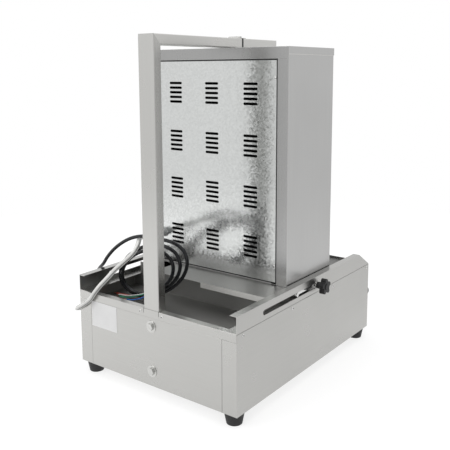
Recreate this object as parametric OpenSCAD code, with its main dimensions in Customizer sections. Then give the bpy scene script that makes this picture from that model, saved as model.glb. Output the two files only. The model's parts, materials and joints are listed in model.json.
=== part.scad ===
// Vertical kebab grill: a base box with two slotted rails, a heater cabinet that slides on them,
// a rear post with a hinged top arm, and a motor-driven spit.
// The front faces -Y. The origin is on the floor, under the middle of the overall outline.

/* [Base] */
// Width of the base box
base_w = 520; // [460:1:580]
// Depth of the base box
base_d = 680; // [650:1:740]
// Height of the base box above its feet
base_h = 198; // [180:1:230]
// Thickness of the case sheet
sheet = 1.5; // [1:0.1:2]
// Width of the side panels' rear returns
return_w = 42; // [30:1:60]
// Gap of the seams between case sheets
seam = 0.6; // [0.3:0.1:1]
// Height of the rear rim strip
strip_h = 20.5; // [16:0.5:26]
// Width of the rim's top flanges
rim_flange_w = 18.5; // [12:0.5:24]

/* [Feet] */
// Height of the rubber feet
foot_h = 30; // [20:1:45]
// Radius of a foot at its top
foot_top_r = 25; // [20:0.5:26]
// Radius of a foot at the floor
foot_low_r = 19; // [14:0.5:20]
// Distance from the case side to a foot's middle
foot_inset = 27; // [26:0.5:40]

/* [Rails] */
// Height of the rails above the base
rail_h = 42; // [38:0.5:50]
// Width of a rail's top flange
rail_flange_w = 19.5; // [17:0.5:24]
// Width of a rail's lower ledge
rail_ledge_w = 32; // [28:0.5:40]
// Height of the rail tab behind the side panel
rail_tab_h = 20; // [16:0.5:26]
// Length of the sloped front end
rail_slope_l = 66; // [40:1:90]
// Gap of the seam under a rail
rail_seam = 1.2; // [0.6:0.1:2]
// Height of the clamp slot
slot_h = 13; // [12.5:0.1:14]
// Height of the slot's middle above the base
slot_z = 18.5; // [17:0.5:20]
// Distance from the rear face to the slot's rear end
slot_inset = 105; // [90:1:120]
// Length of the slot
slot_l = 267; // [262:1:300]

/* [Well and deck] */
// Depth of the cord well
well_depth = 35; // [25:0.5:36]
// Distance from the rear face to the well's front wall
well_l = 200; // [170:1:230]
// Height of the deck above the base
deck_rise = 38; // [36:0.5:39]
// Distance from the rear face to the deck's rear edge
deck_inset = 151; // [130:1:165]
// Depth of the deck
deck_d = 213; // [180:1:216]
// Height of the deck's rear lip
deck_lip_h = 15; // [8:0.5:20]
// Distance from the middle to the start of the rear lip
deck_lip_start = 34; // [28:1:60]
// Width of the cable notch in the deck
deck_notch_w = 105; // [70:1:140]
// Depth of the cable notch in the deck
deck_notch_d = 90; // [60:1:110]

/* [Post and arm] */
// Overall height to the top of the arm
overall_h = 893; // [840:1:940]
// Width of the post and arm tube
tube_w = 50; // [40:1:60]
// Depth of the post tube and height of the arm tube
tube_d = 25; // [20:1:30]
// Wall of the tubes
tube_wall = 2; // [1.5:0.1:3]
// Length of the hinged front arm
front_arm_l = 167; // [140:1:200]
// Gap at the arm's joint
joint_gap = 4; // [0.8:0.1:4]
// Radius of the post bolts
bolt_r = 5; // [4:0.5:6]
// Radius of the post bolts' washers
washer_r = 15; // [12:0.5:18]
// Height of the upper post bolt above the base floor
bolt_high = 156; // [130:1:165]
// Height of the lower post bolt above the base floor
bolt_low = 40; // [30:1:60]

/* [Cabinet] */
// Depth of the heater cabinet
cab_d = 227; // [200:1:240]
// Distance from the rear face to the cabinet's back
cab_inset = 244; // [235:1:250]
// Gap between the cabinet and the rails
cab_gap = 3; // [2:0.1:4]
// Gap between the cabinet's top and the arm
arm_gap = 3; // [2.2:0.1:6]
// Width of the stiles beside the vent panel
stile_w = 31; // [24:0.5:40]
// Width of the front lips
lip_w = 22; // [16:0.5:30]
// Height of the lid's side skirt
lid_skirt_h = 18; // [10:0.5:22]
// Height of the lid's rear skirt
lid_back_h = 29; // [22:0.5:36]
// Gap around the vent panel
panel_gap = 4; // [1.5:0.1:4]
// Recess of the vent panel
panel_recess = 3; // [2:0.1:5]
// Thickness of the vent panel
panel_t = 1; // [0.8:0.1:1.5]
// Length of a vent slot
vent_l = 43.5; // [34:0.5:50]
// Height of a vent slot
vent_h = 6.8; // [4:0.1:8]
// Distance between vent slots in a group
vent_pitch = 12.6; // [11:0.1:14]
// Distance from the panel opening's upper and lower edge to the vents
vent_margin_z = 58; // [45:1:75]
// Distance from a stile to the vents
vent_margin_x = 60.5; // [50:0.5:75]

/* [Heaters] */
// Radius of a heating element tube
element_r = 4; // [3:0.1:5]
// Distance between the legs of an element
element_gap = 44; // [36:1:54]
// Number of elements
element_count = 4; // [3:1:4]
// Distance from the cabinet's front to the elements
element_inset = 32; // [24:1:40]
// Distance from the elements to the reflector
reflector_gap = 24; // [20:1:30]
// Thickness of the insulation board
insulation_t = 25; // [15:1:40]

/* [Clamps] */
// Radius of the clamp screw
stud_r = 4; // [3:0.1:4.5]
// Radius of the clamp knob over its lobes
knob_r = 21; // [17:0.5:24]
// Length of the clamp knob
knob_l = 29; // [22:0.5:34]
// Height of the runner bars
runner_h = 21; // [18:0.5:22]

/* [Spit and drive] */
// Distance from the cabinet's front to the spit's axis
spit_gap = 37; // [36:0.5:60]
// Radius of the spit shaft
spit_r = 7; // [6:0.5:8]
// Radius of the spit disc
disc_r = 34; // [26:0.5:34]
// Radius of the drive spindle
spindle_r = 10; // [8:0.5:11]
// Gear module
gear_m = 2; // [1.5:0.1:2.5]
// Teeth of the drive gear
gear_teeth = 48; // [48:12:60]
// Teeth of the motor pinion
pinion_teeth = 12; // [12:1:12]
// Height of the drip pan
pan_h = 7; // [6:1:24]

/* [Controls] */
// Radius of a heat knob's skirt
heat_knob_r = 22; // [18:0.5:26]
// Length of a heat knob
heat_knob_l = 26; // [20:0.5:32]
// Distance from the case side to a heat knob's axis
heat_knob_inset = 24; // [23:1:60]
// Height of the heat knobs above the base floor
heat_knob_z = 105; // [80:1:130]

/* [Cords] */
// Diameter of the supply cord
cord_d = 9.5; // [8:0.1:10]
// Diameter of the heater cable sleeve
sleeve_d = 13; // [11:0.1:14]
// Diameter of a bare conductor
tail_d = 3; // [2.4:0.1:3.2]

/* [Hidden] */
$fn = 48;

// Colours
steel = [0.74, 0.74, 0.72];
bright = [0.84, 0.84, 0.83];
zinc = [0.80, 0.82, 0.83];
dark = [0.16, 0.16, 0.17];
brass = [0.75, 0.62, 0.32];

// Small sizes and clearances
eps = 0.01;
cut = 1;
fit = 0.05;
slip = 0.3;
hole_play = 0.2;
screw_r = 1.6;
screw_head_r = 3.6;
screw_head_h = 2.2;
screw_top_r = 2;
screw_grip = 6;
washer_t = 1.6;
thread_proud = 3;
bolt_head_h = 5.4;
plate_t = 0.5;

// Overall placing
bolt_proud = washer_t + bolt_head_h;
heat_knob_gap = 1;
knob_proud = heat_knob_l + heat_knob_gap;
y_shift = (knob_proud - bolt_proud) / 2;
rear = base_d / 2 + y_shift;
front = rear - base_d;
half_w = base_w / 2;
in_w = half_w - sheet;
z_low = foot_h;
z_rim = foot_h + base_h;
z_strip = z_rim - strip_h;
z_rail = z_rim + rail_h;
z_deck = z_rim + deck_rise;
z_well = z_rim - well_depth;

// Rails
rail_screw_drop = 9;
rail_screw_rear = 24;
rail_screw_front = 15;
rail_screw_count = 4;
slot_rear = rear - slot_inset;
slot_front = slot_rear - slot_l;
slot_mid_z = z_rim + slot_z;
rail_screw_pitch = (base_d - rail_screw_rear - rail_screw_front) / (rail_screw_count - 1);
rail_screw_ys = [for (i = [0 : rail_screw_count - 1]) rear - rail_screw_rear - i * rail_screw_pitch];

// Post, arm and their hinge
post_rear = rear - sheet;
post_front = post_rear - tube_d;
post_foot = z_low + sheet;
arm_top = overall_h;
arm_low = arm_top - tube_d;
notch_gap = 0.75;
leaf_t = 2;
leaf_l = 20;
leaf_w = 40;
leaf_start = 2.1;
knuckle_lift = 0.4;
pin_proud = 1;
knuckle_r = 3;
hinge_pin_r = 1.5;

// Cabinet
cw = half_w - rail_flange_w - cab_gap;
cab_rear = rear - cab_inset;
cab_front = cab_rear - cab_d;
cab_top = arm_low - arm_gap;
cab_low = z_deck + slip;
lid_t = 1.2;
side_top = cab_top - lid_t;
panel_y1 = cab_rear - panel_recess;
panel_y0 = panel_y1 - panel_t;
opening_w = 2 * (cw - stile_w);
opening_low = cab_low + sheet;
opening_high = cab_top - lid_back_h;
panel_w = opening_w - 2 * panel_gap;
panel_low = opening_low + panel_gap;
panel_tuck = 12;
panel_high = opening_high + panel_tuck;
shelf_w = 18;
screw_in = 8;
panel_screw_rise = 45.5;
panel_screw_drop = 47;
panel_screw_low = opening_low + panel_screw_rise;
panel_screw_high = opening_high - panel_screw_drop;
vent_cols = 3;
vent_rows = 4;
vent_slots = 5;
vent_top = opening_high - vent_margin_z - vent_h / 2;
vent_span = vent_pitch * (vent_slots - 1);
vent_low = opening_low + vent_margin_z + vent_h / 2;
vent_row_pitch = (vent_top - vent_span - vent_low) / (vent_rows - 1);
vent_col_pitch = (opening_w - 2 * vent_margin_x - vent_l) / (vent_cols - 1);
gland_side = 31.5;
gland_rise = 83.5;
gland_x = opening_w / 2 - gland_side;
gland_z = opening_low + gland_rise;
gland_r = 11;
gland_out = 20;
gland_nut_r = 14;
gland_nut_h = 6;
gland_wall = 2;

// Deck
deck_side_gap = 2;
deck_half = cw - sheet - deck_side_gap;
deck_rear = rear - deck_inset;
deck_front = deck_rear - deck_d;
well_front = rear - well_l;

// Heaters
element_y = cab_front + element_inset;
reflector_y = element_y + reflector_gap;
insulation_y = reflector_y + sheet;
element_side = 50;
element_bottom = 80;
element_top = 90;
element_half = cw - sheet - element_side;
element_low = cab_low + element_bottom;
element_high = cab_top - element_top;
element_pitch = (element_high - element_low) / (element_count - 1);
element_zs = [for (i = [0 : element_count - 1]) element_low + i * element_pitch];
elbow_r = 14;
lead_tail = 12;
lead_l = reflector_gap + sheet + insulation_t + lead_tail;
bracket_side = 60;
bracket_x = element_half - bracket_side;
bracket_edge = 4;
bracket_end = 14;
wire_r = 2;
guard_gap = 0.2;
guard_top_gap = 1;
guard_lap = 8;
guard_y = cab_front + sheet + wire_r + guard_gap;
guard_half = cw - lip_w + guard_lap;
guard_pitch = 45;
guard_strip_w = 6;

// Runners and clamps
runner_top_play = 2.5;
runner_side_play = 1.5;
runner_setback = 9;
runner_top = z_rail - sheet - runner_top_play;
runner_low = runner_top - runner_h;
runner_out = in_w - runner_side_play;
runner_rear = cab_rear - runner_setback;
runner_web = 2;
stud_play = 3.5;
guide_inset = 9;
stud_y = slot_front + slot_h / 2 + stud_play;
guide_y = runner_rear - guide_inset;
guide_head_af = 10;
guide_r = 3;
clamp_washer_r = 10;
neck_r = 9;
neck_l = 12;
lobe_r = 6;
lobe_count = 5;
cap_rise = 2;
stud_bite = 4;

// Spit and drive
spit_y = cab_front - spit_gap;
arm_overhang = 13;
front_arm_end = spit_y - arm_overhang;
front_arm_rear = front_arm_end + front_arm_l;
arm_front = front_arm_rear + joint_gap;
hinge_y = front_arm_rear + joint_gap / 2;
hinge_lift = 0.2;
hinge_z = arm_top + knuckle_r + hinge_lift;
cone_r = 8;
cone_tip_r = 0.8;
cone_h = 8;
cone_gap = 0.5;
centre_stud_r = 4;
centre_nut_r = 7.2;
centre_nut_h = 6;
centre_drop = 20;
centre_z = arm_low - centre_drop;
cone_proud = 1;
spit_top = centre_z + cone_h - cone_proud;
cup_r = 12;
cup_h = 16;
seat_over = 2;
bush_wall = 5;
bush_flange_w = 5;
bush_flange_r = spindle_r + bush_wall + bush_flange_w;
bush_flange_t = 3;
bush_l = 16;
bracket_t = 3;
bracket_rise = 92;
bracket_z = z_low + bracket_rise;
bracket_left = 20;
bracket_right = 10;
bracket_sides = 8;
bracket_foot_w = 18;
gear_h = 12;
gear_z = bracket_z + bracket_t + bush_flange_t + slip;
pinion_r = gear_m * pinion_teeth / 2;
gear_r = gear_m * gear_teeth / 2;
mesh_play = 0.2;
centre_dist = gear_r + pinion_r + mesh_play;
hub_h = 8;
hub_wall = 7;
pinion_shaft_r = 4;
pinion_hole_gap = 3;
shaft_depth = 20;
shaft_end_gap = 4;
motor_w = 70;
motor_r = 30;
motor_h = 60;
gearbox_h = 24;
socket_h = 20;
socket_rise = 24;
socket_wall = 6;
socket_floor = 4;
socket_play = 0.2;
spit_square = spit_r * 2;
socket_r = spit_square / sqrt(2) + socket_wall;
spindle_top = z_rim + socket_rise + socket_h;
disc_lift = 6;
disc_z = spindle_top + disc_lift;
disc_t = 4;
disc_hub_h = 16;
disc_hub_wall = 7;
collar_gap = 7;
collar_r = socket_r + collar_gap;
collar_drop = 1;
pan_wall = 1.2;
pan_gap = 2;
pan_half = half_w - rail_ledge_w - pan_gap;
pan_rear = deck_front - pan_gap;
pan_setback = 8;
pan_front = front + pan_setback;

// Controls
heat_shaft_r = 3;
heat_shaft_in = 18;
heat_shaft_gap = 2;
heat_grip_r = 16;
skirt_h = 4;
pointer_w = 6;
pointer_rise = 3;
pointer_end = 3;
heat_knob_zs = z_low + heat_knob_z;
heat_knob_xs = half_w - heat_knob_inset;
regulator_w = 40;
regulator_d = 34;
switch_rise = 160;
switch_z = z_low + switch_rise;
switch_lip = 2;
switch_bezel = 3;
switch_w = 24;
switch_h = 30;
rocker_d = 8;
rocker_gap = 1;
rocker_tilt = 8;
rocker_pin_r = 1.5;
rocker_pin_seat = 1.4;
rocker_pin_play = 0.3;
rocker_in = 1;
switch_wall = 2;
switch_depth = 26;

// Cord glands on the right side panel
cord_gland_inset = 135;
cord_gland_rise = 120;
cord_gland_y = rear - cord_gland_inset;
cord_gland_z = z_low + cord_gland_rise;
cord_gland_l = 24;
lock_nut_h = 4;
lock_nut_w = 6;
collar_h = 5;
collar_w = 8;
nose_low_w = 3.5;
nose_tip_w = 1.5;
elbow_inset = 50;
elbow_rise = 138;
elbow_y = rear - elbow_inset;
elbow_z = z_low + elbow_rise;
elbow_wall = 2.5;
elbow_collar_w = 7;
elbow_collar_h = 5;
elbow_nut_w = 5;
elbow_nut_h = 3.5;
elbow_out = 19;
elbow_l = 16;

// Route of the supply cord from its gland over the right rail to the coil
cord_route = [
    [304, 215, 150], [334, 217, 162], [346, 221, 192], [334, 229, 222], [309, 243, 242],
    [285, 255, 261], [260, 263, 280], [242, 264, 302], [216, 265, 327], [184, 266, 350],
    [148, 268, 369], [110, 270, 381], [72, 273, 386], [46, 274, 386]
];
// Coil of the supply cord: a flattened spiral that leans back in the well
coil_x = 93;
coil_y = 222;
coil_low = 205;
coil_mid = 87.5;
coil_long = 156;
coil_short = 72;
coil_long_step = 21;
coil_short_step = 8;
coil_layer_step = 8;
coil_turn = 30;
coil_lean = 16;
coil_start = 140;
coil_end = 1000;
coil_rings = 24;
coil_sides = 6;
// Sides of the swept tubes, and rings to each step of a route
cord_sides = 8;
sleeve_sides = 10;
route_steps = 2;
tail_steps = 3;
tail_play = 0.2;
// Route of the heater cable sleeve from the cabinet's back to the right side panel
sleeve_route = [
    [168, 180, 357], [153, 216, 363], [133, 248, 367], [115, 270, 366],
    [106, 287, 356], [109, 299, 342], [122, 306, 327], [139, 312, 311], [156, 319, 294],
    [172, 330, 273], [186, 345, 252], [196, 356, 234], [209, 360, 215], [230, 360, 199],
    [253, 360, 184], [271, 352, 174]
];
// Ends of the bare conductors, and the colours of their sheaths
tail_ends = [
    [[130, 245, 211], [175, 243, 199], [240, 245, 195]],
    [[125, 250, 207], [158, 254, 197], [190, 255, 195]],
    [[124, 255, 206], [152, 262, 197], [180, 265, 195]],
    [[130, 254, 212], [172, 259, 199], [214, 259, 195]],
    [[130, 249, 214], [178, 249, 200], [226, 250, 195]]
];
tail_colours = ["firebrick", "saddlebrown", "dodgerblue", "seagreen", "white"];

// Vectors and sweeps
function unit(v) = v / norm(v);
function dot(a, b) = a[0] * b[0] + a[1] * b[1] + a[2] * b[2];
function pick(p, i) = p[max(0, min(len(p) - 1, i))];
function spline(a, b, c, d, t) =
    0.5 * (2 * b + (c - a) * t + (2 * a - 5 * b + 4 * c - d) * t * t + (3 * b - a - 3 * c + d) * t * t * t);
function smooth_path(p, n) = concat(
    [for (i = [0 : len(p) - 2], k = [0 : n - 1])
        spline(pick(p, i - 1), p[i], p[i + 1], pick(p, i + 2), k / n)],
    [p[len(p) - 1]]);
function tangents(p) = [for (i = [0 : len(p) - 1]) unit(pick(p, i + 1) - pick(p, i - 1))];
function any_normal(t) = unit(cross(t, abs(t[2]) < 0.9 ? [0, 0, 1] : [1, 0, 0]));
function carried(n, t) = unit(n - dot(n, t) * t);
function normals(t, i = 0, done = []) =
    i == len(t) ? done
    : normals(t, i + 1, concat(done, [i == 0 ? any_normal(t[0]) : carried(done[i - 1], t[i])]));

// One closed tube along a path
module sweep_tube(path, r, sides) {
    ts = tangents(path);
    ns = normals(ts);
    count = len(path);
    points = [for (i = [0 : count - 1], k = [0 : sides - 1])
        let (a = 360 * k / sides)
        path[i] + r * (cos(a) * ns[i] + sin(a) * cross(ts[i], ns[i]))];
    walls = [for (i = [0 : count - 2], k = [0 : sides - 1])
        let (a = i * sides + k, b = i * sides + (k + 1) % sides)
        each [[a, a + sides, b], [b, a + sides, b + sides]]];
    start = [for (k = [1 : sides - 2]) [0, k, k + 1]];
    last = (count - 1) * sides;
    finish = [for (k = [1 : sides - 2]) [last, last + k + 1, last + k]];
    polyhedron(points, concat(walls, start, finish));
}

// Coil points
function coil_point(a) =
    let (turns = (a - coil_start) / 360,
        u = (coil_long - coil_long_step * turns) * cos(a),
        w = (coil_short - coil_short_step * turns) * sin(a),
        s = coil_mid - u * sin(coil_turn) + w * cos(coil_turn),
        n = coil_layer_step * turns)
    [coil_x + u * cos(coil_turn) + w * sin(coil_turn),
     coil_y + s * sin(coil_lean) + n * cos(coil_lean),
     coil_low + s * cos(coil_lean) - n * sin(coil_lean)];
coil_step = 360 / coil_rings;
coil_angles = [for (a = [coil_start : coil_step : coil_end - coil_step / 2]) a];
coil_spiral = concat([for (a = coil_angles) coil_point(a)], [coil_point(coil_end)]);
coil_in = unit(coil_point(coil_start + 1) - coil_point(coil_start));
coil_out = unit(coil_point(coil_end) - coil_point(coil_end - 1));
coil_first = coil_spiral[0] - cord_d * coil_in;
coil_last = coil_point(coil_end) + cord_d * coil_out;
coil_path = concat([coil_first], coil_spiral, [coil_last]);
half_loop = coil_rings / 2;
coil_self_gap = min([for (i = [0 : len(coil_path) - 1], k = [0 : len(coil_path) - 1])
    if (k > i + half_loop) norm(coil_path[k] - coil_path[i])]) - cord_d;
echo(coil_least_gap = coil_self_gap);

// Shared shapes
module block(low, high) {
    translate(low) cube(high - low);
}
module rod_x(x0, x1, y, z, r) {
    translate([x0, y, z]) rotate([0, 90, 0]) cylinder(h = x1 - x0, r = r);
}
module rod_y(y0, y1, x, z, r) {
    translate([x, y1, z]) rotate([90, 0, 0]) cylinder(h = y1 - y0, r = r);
}
module rod_z(z0, z1, x, y, r) {
    translate([x, y, z0]) cylinder(h = z1 - z0, r = r);
}
module other_side() {
    mirror([1, 0, 0]) children();
}
module both_sides() {
    children();
    other_side() children();
}

// Side panel on the +X side, with its rear return
module side_panel() {
    difference() {
        union() {
            block([in_w, front, z_low], [half_w, rear, z_rim - rail_seam]);
            block([half_w - return_w, rear - sheet, z_low], [half_w, rear, z_strip]);
        }
        for (y = rail_screw_ys)
            rod_x(in_w - cut, half_w + cut, y, z_rim - rail_screw_drop, screw_r + hole_play);
        children();
    }
}
module left_side_panel() {
    color(steel) other_side() side_panel();
}
module right_side_panel() {
    color(steel) side_panel() {
        rod_x(in_w - cut, half_w + cut, cord_gland_y, cord_gland_z, cord_d / 2 + gland_wall + hole_play);
        rod_x(in_w - cut, half_w + cut, elbow_y, elbow_z, sleeve_d / 2 + gland_wall + hole_play);
    }
}
foot_xs = half_w - foot_inset;
foot_ys = [front + foot_inset, rear - foot_inset];
foot_bolt_r = 3;
module at_feet() {
    for (x = [-foot_xs, foot_xs], y = foot_ys)
        translate([x, y, 0]) children();
}
module base_floor() {
    color(steel) difference() {
        block([-in_w, front + sheet, z_low], [in_w, rear - 2 * sheet, z_low + sheet]);
        at_feet() rod_z(z_low - cut, z_low + sheet + cut, 0, 0, foot_bolt_r + hole_play);
    }
}
module front_panel() {
    color(steel) difference() {
        union() {
            block([-in_w, front, z_low], [in_w, front + sheet, z_rim]);
            block([-in_w + 2 * sheet, front, z_rim - sheet],
                [in_w - 2 * sheet, front + rim_flange_w, z_rim]);
        }
        for (x = [-heat_knob_xs, heat_knob_xs])
            rod_y(front - cut, front + sheet + cut, x, heat_knob_zs, heat_shaft_r + hole_play);
        block([-switch_w / 2 - hole_play, front - cut, switch_z - switch_h / 2 - hole_play],
            [switch_w / 2 + hole_play, front + sheet + cut, switch_z + switch_h / 2 + hole_play]);
    }
}
post_bolt_zs = [z_low + bolt_low, z_low + bolt_high];
back_half = half_w - return_w - seam;
lap_w = 12;
module back_panel() {
    color(steel) difference() {
        union() {
            block([-back_half, rear - sheet, z_low], [back_half, rear, z_strip]);
            both_sides() block([back_half - lap_w, rear - 2 * sheet, z_low],
                [back_half + lap_w, rear - sheet, z_strip]);
        }
        for (z = post_bolt_zs)
            rod_y(rear - sheet - cut, rear + cut, 0, z, bolt_r + hole_play);
    }
}
rim_screw_gap = 11;
rim_screw_x = tube_w / 2 + rim_screw_gap;
slit_w = 1.2;
slit_h = 12;
module rear_rim() {
    notch = tube_w / 2 + notch_gap;
    color(steel) difference() {
        union() {
            block([-in_w, rear - sheet, z_strip], [in_w, rear, z_rim]);
            block([-in_w + 2 * sheet, rear - rim_flange_w, z_rim - sheet],
                [in_w - 2 * sheet, rear, z_rim]);
        }
        block([-notch, rear - rim_flange_w - cut, z_rim - sheet - cut], [notch, rear - sheet, z_rim + cut]);
        both_sides() block([notch - slit_w, rear - sheet - cut, z_rim - slit_h],
            [notch, rear + cut, z_rim + cut]);
        for (x = [-rim_screw_x, rim_screw_x])
            rod_y(rear - sheet - cut, rear + cut, x, z_rim - rail_screw_drop, screw_r + hole_play);
    }
}
module top_plate() {
    color(steel) difference() {
        block([-in_w + 2 * sheet, front + rim_flange_w, z_rim - sheet],
            [in_w - 2 * sheet, well_front, z_rim]);
        rod_z(z_rim - sheet - cut, z_rim + cut, 0, spit_y, spindle_r + bush_wall + hole_play);
    }
}
module well_tray() {
    out = in_w - 2 * sheet;
    back = rear - 2 * sheet;
    post_gap = tube_w / 2 + notch_gap;
    wall_top = z_rim - sheet;
    leg_half = half_w - rail_ledge_w - seam;
    color([0.55, 0.55, 0.55]) difference() {
        union() {
            block([-out, well_front, z_well - sheet], [out, back, z_well]);
            both_sides() block([out - sheet, well_front, z_well - sheet], [out, back, wall_top]);
            block([-out, back - sheet, z_well - sheet], [out, back, wall_top]);
            block([-out, well_front, z_well - sheet], [out, well_front + sheet, wall_top]);
            block([-leg_half, well_front, wall_top - sheet],
                [leg_half, well_front + sheet, z_deck - sheet]);
        }
        block([-post_gap, post_front - notch_gap, z_well - sheet - cut], [post_gap, rear, z_rim]);
    }
}
module deck_plate() {
    notch_x = deck_half - deck_notch_w;
    foot = z_rim + sheet;
    color(bright) difference() {
        union() {
            block([-deck_half, deck_front, z_deck - sheet], [deck_half, deck_rear, z_deck]);
            both_sides() block([deck_half - sheet, deck_front, foot], [deck_half, deck_rear, z_deck]);
            block([-deck_half, deck_front, foot], [deck_half, deck_front + sheet, z_deck]);
            block([-deck_half, deck_rear - sheet, z_deck - deck_lip_h],
                [-deck_lip_start, deck_rear, z_deck]);
        }
        block([notch_x, deck_rear - deck_notch_d, foot - cut],
            [deck_half + cut, deck_rear + cut, z_deck + cut]);
    }
}

// Rail on the +X side
module rail_profile() {
    polygon([
        [half_w, z_rim], [half_w, z_rail], [half_w - rail_flange_w, z_rail],
        [half_w - rail_flange_w, z_rail - sheet], [in_w, z_rail - sheet], [in_w, z_rim + sheet],
        [half_w - rail_ledge_w, z_rim + sheet], [half_w - rail_ledge_w, z_rim]]);
}
module along_y(y0, y1) {
    translate([0, y1, 0]) rotate([90, 0, 0]) linear_extrude(height = y1 - y0) children();
}
module along_x(x0, x1) {
    translate([x0, 0, 0]) rotate([90, 0, 90]) linear_extrude(height = x1 - x0) children();
}
module rail() {
    rise = rail_h / rail_slope_l;
    skin = sheet * sqrt(1 + rise * rise);
    slope_y = front + rail_slope_l;
    color(steel) difference() {
        union() {
            difference() {
                along_y(front, rear) rail_profile();
                along_x(half_w - rail_ledge_w - cut, half_w + cut)
                    polygon([[front - cut, z_rim - cut * rise], [slope_y, z_rail],
                        [slope_y, z_rail + cut], [front - cut, z_rail + cut]]);
            }
            along_x(half_w - rail_flange_w, half_w)
                polygon([[front, z_rim], [slope_y, z_rail], [slope_y, z_rail - skin],
                    [front + skin / rise, z_rim]]);
            block([in_w - sheet, front + 2 * sheet, z_rim - rail_tab_h],
                [in_w, rear - 2 * sheet, z_rim + eps]);
        }
        block([in_w - cut, slot_front + slot_h / 2, slot_mid_z - slot_h / 2],
            [half_w + cut, slot_rear - slot_h / 2, slot_mid_z + slot_h / 2]);
        for (y = [slot_front + slot_h / 2, slot_rear - slot_h / 2])
            rod_x(in_w - cut, half_w + cut, y, slot_mid_z, slot_h / 2);
        for (y = rail_screw_ys)
            rod_x(in_w - sheet - cut, in_w + cut, y, z_rim - rail_screw_drop, screw_r + hole_play);
    }
}
module left_rail() {
    other_side() rail();
}
module right_rail() {
    rail();
}

// A pan-head screw along -Z, with its head's underside at the origin
module pan_screw(grip) {
    cylinder(h = screw_head_h / 2, r = screw_head_r);
    translate([0, 0, screw_head_h / 2])
        cylinder(h = screw_head_h / 2, r1 = screw_head_r, r2 = screw_top_r);
    translate([0, 0, -grip]) cylinder(h = grip, r = screw_r);
}
module case_screws() {
    color(zinc) {
        both_sides() for (y = rail_screw_ys)
            translate([half_w, y, z_rim - rail_screw_drop]) rotate([0, 90, 0]) pan_screw(2 * sheet);
        for (x = [-rim_screw_x, rim_screw_x])
            translate([x, rear, z_rim - rail_screw_drop]) rotate([-90, 0, 0]) pan_screw(sheet);
    }
}
plate_w = 93;
plate_h = 68;
plate_seam_gap = 3;
module rating_plate() {
    right = back_half - plate_seam_gap;
    color("whitesmoke")
        block([right - plate_w, rear, z_strip - plate_h], [right, rear + plate_t, z_strip]);
}
foot_recess_r = 8;
foot_recess_h = 16;
foot_bolt_head_r = 6;
foot_bolt_head_h = 4;
foot_nut_r = 5.7;
foot_nut_h = 5;
module rubber_feet() {
    color(dark) at_feet() difference() {
        cylinder(h = foot_h, r1 = foot_low_r, r2 = foot_top_r);
        rod_z(-cut, foot_recess_h, 0, 0, foot_recess_r);
        rod_z(-cut, foot_h + cut, 0, 0, foot_bolt_r + hole_play);
    }
}
module foot_bolts() {
    nut_z = z_low + sheet;
    nut_top = nut_z + foot_nut_h;
    color(zinc) at_feet() {
        rod_z(foot_recess_h - foot_bolt_head_h, foot_recess_h, 0, 0, foot_bolt_head_r);
        rod_z(foot_recess_h - foot_bolt_head_h / 2, nut_top + thread_proud, 0, 0, foot_bolt_r);
        difference() {
            translate([0, 0, nut_z]) cylinder(h = foot_nut_h, r = foot_nut_r, $fn = 6);
            rod_z(nut_z - cut, nut_top + cut, 0, 0, foot_bolt_r + fit);
        }
    }
}

// Post and arm, mitred at their corner
module tube_section(w, d) {
    difference() {
        square([w, d], center = true);
        square([w - 2 * tube_wall, d - 2 * tube_wall], center = true);
    }
}
module rear_post() {
    color(steel) difference() {
        translate([0, post_rear - tube_d / 2, post_foot])
            linear_extrude(height = arm_top - post_foot) tube_section(tube_w, tube_d);
        along_x(-tube_w, tube_w)
            polygon([[post_rear + cut, arm_top + cut], [post_front - cut, arm_low - cut],
                [post_front - cut, arm_top + cut]]);
        for (z = post_bolt_zs)
            rod_y(post_rear - tube_wall - cut, post_rear + cut, 0, z, bolt_r + hole_play);
    }
}
module top_arm() {
    color(steel) difference() {
        translate([0, post_rear, arm_top - tube_d / 2]) rotate([90, 0, 0])
            linear_extrude(height = post_rear - arm_front) tube_section(tube_w, tube_d);
        along_x(-tube_w, tube_w)
            polygon([[post_rear + cut, arm_top + cut], [post_front - cut, arm_low - cut],
                [post_rear + cut, arm_low - cut]]);
    }
}
bolt_nut_h = 8;
bolt_hex_r = 9.25;
module post_bolts() {
    nut_y = post_rear - tube_wall;
    color(zinc) for (z = post_bolt_zs) translate([0, 0, z]) {
        rod_y(nut_y - bolt_nut_h - thread_proud, rear + washer_t + bolt_head_h / 2, 0, 0, bolt_r);
        translate([0, rear + washer_t, 0]) rotate([-90, 0, 0])
            cylinder(h = bolt_head_h, r = bolt_hex_r, $fn = 6);
        difference() {
            rod_y(rear, rear + washer_t, 0, 0, washer_r);
            rod_y(rear - cut, rear + washer_t + cut, 0, 0, bolt_r + fit);
        }
        difference() {
            translate([0, nut_y, 0]) rotate([90, 0, 0])
                cylinder(h = bolt_nut_h, r = bolt_hex_r, $fn = 6);
            rod_y(nut_y - bolt_nut_h - cut, nut_y + cut, 0, 0, bolt_r + fit);
        }
    }
}

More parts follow.
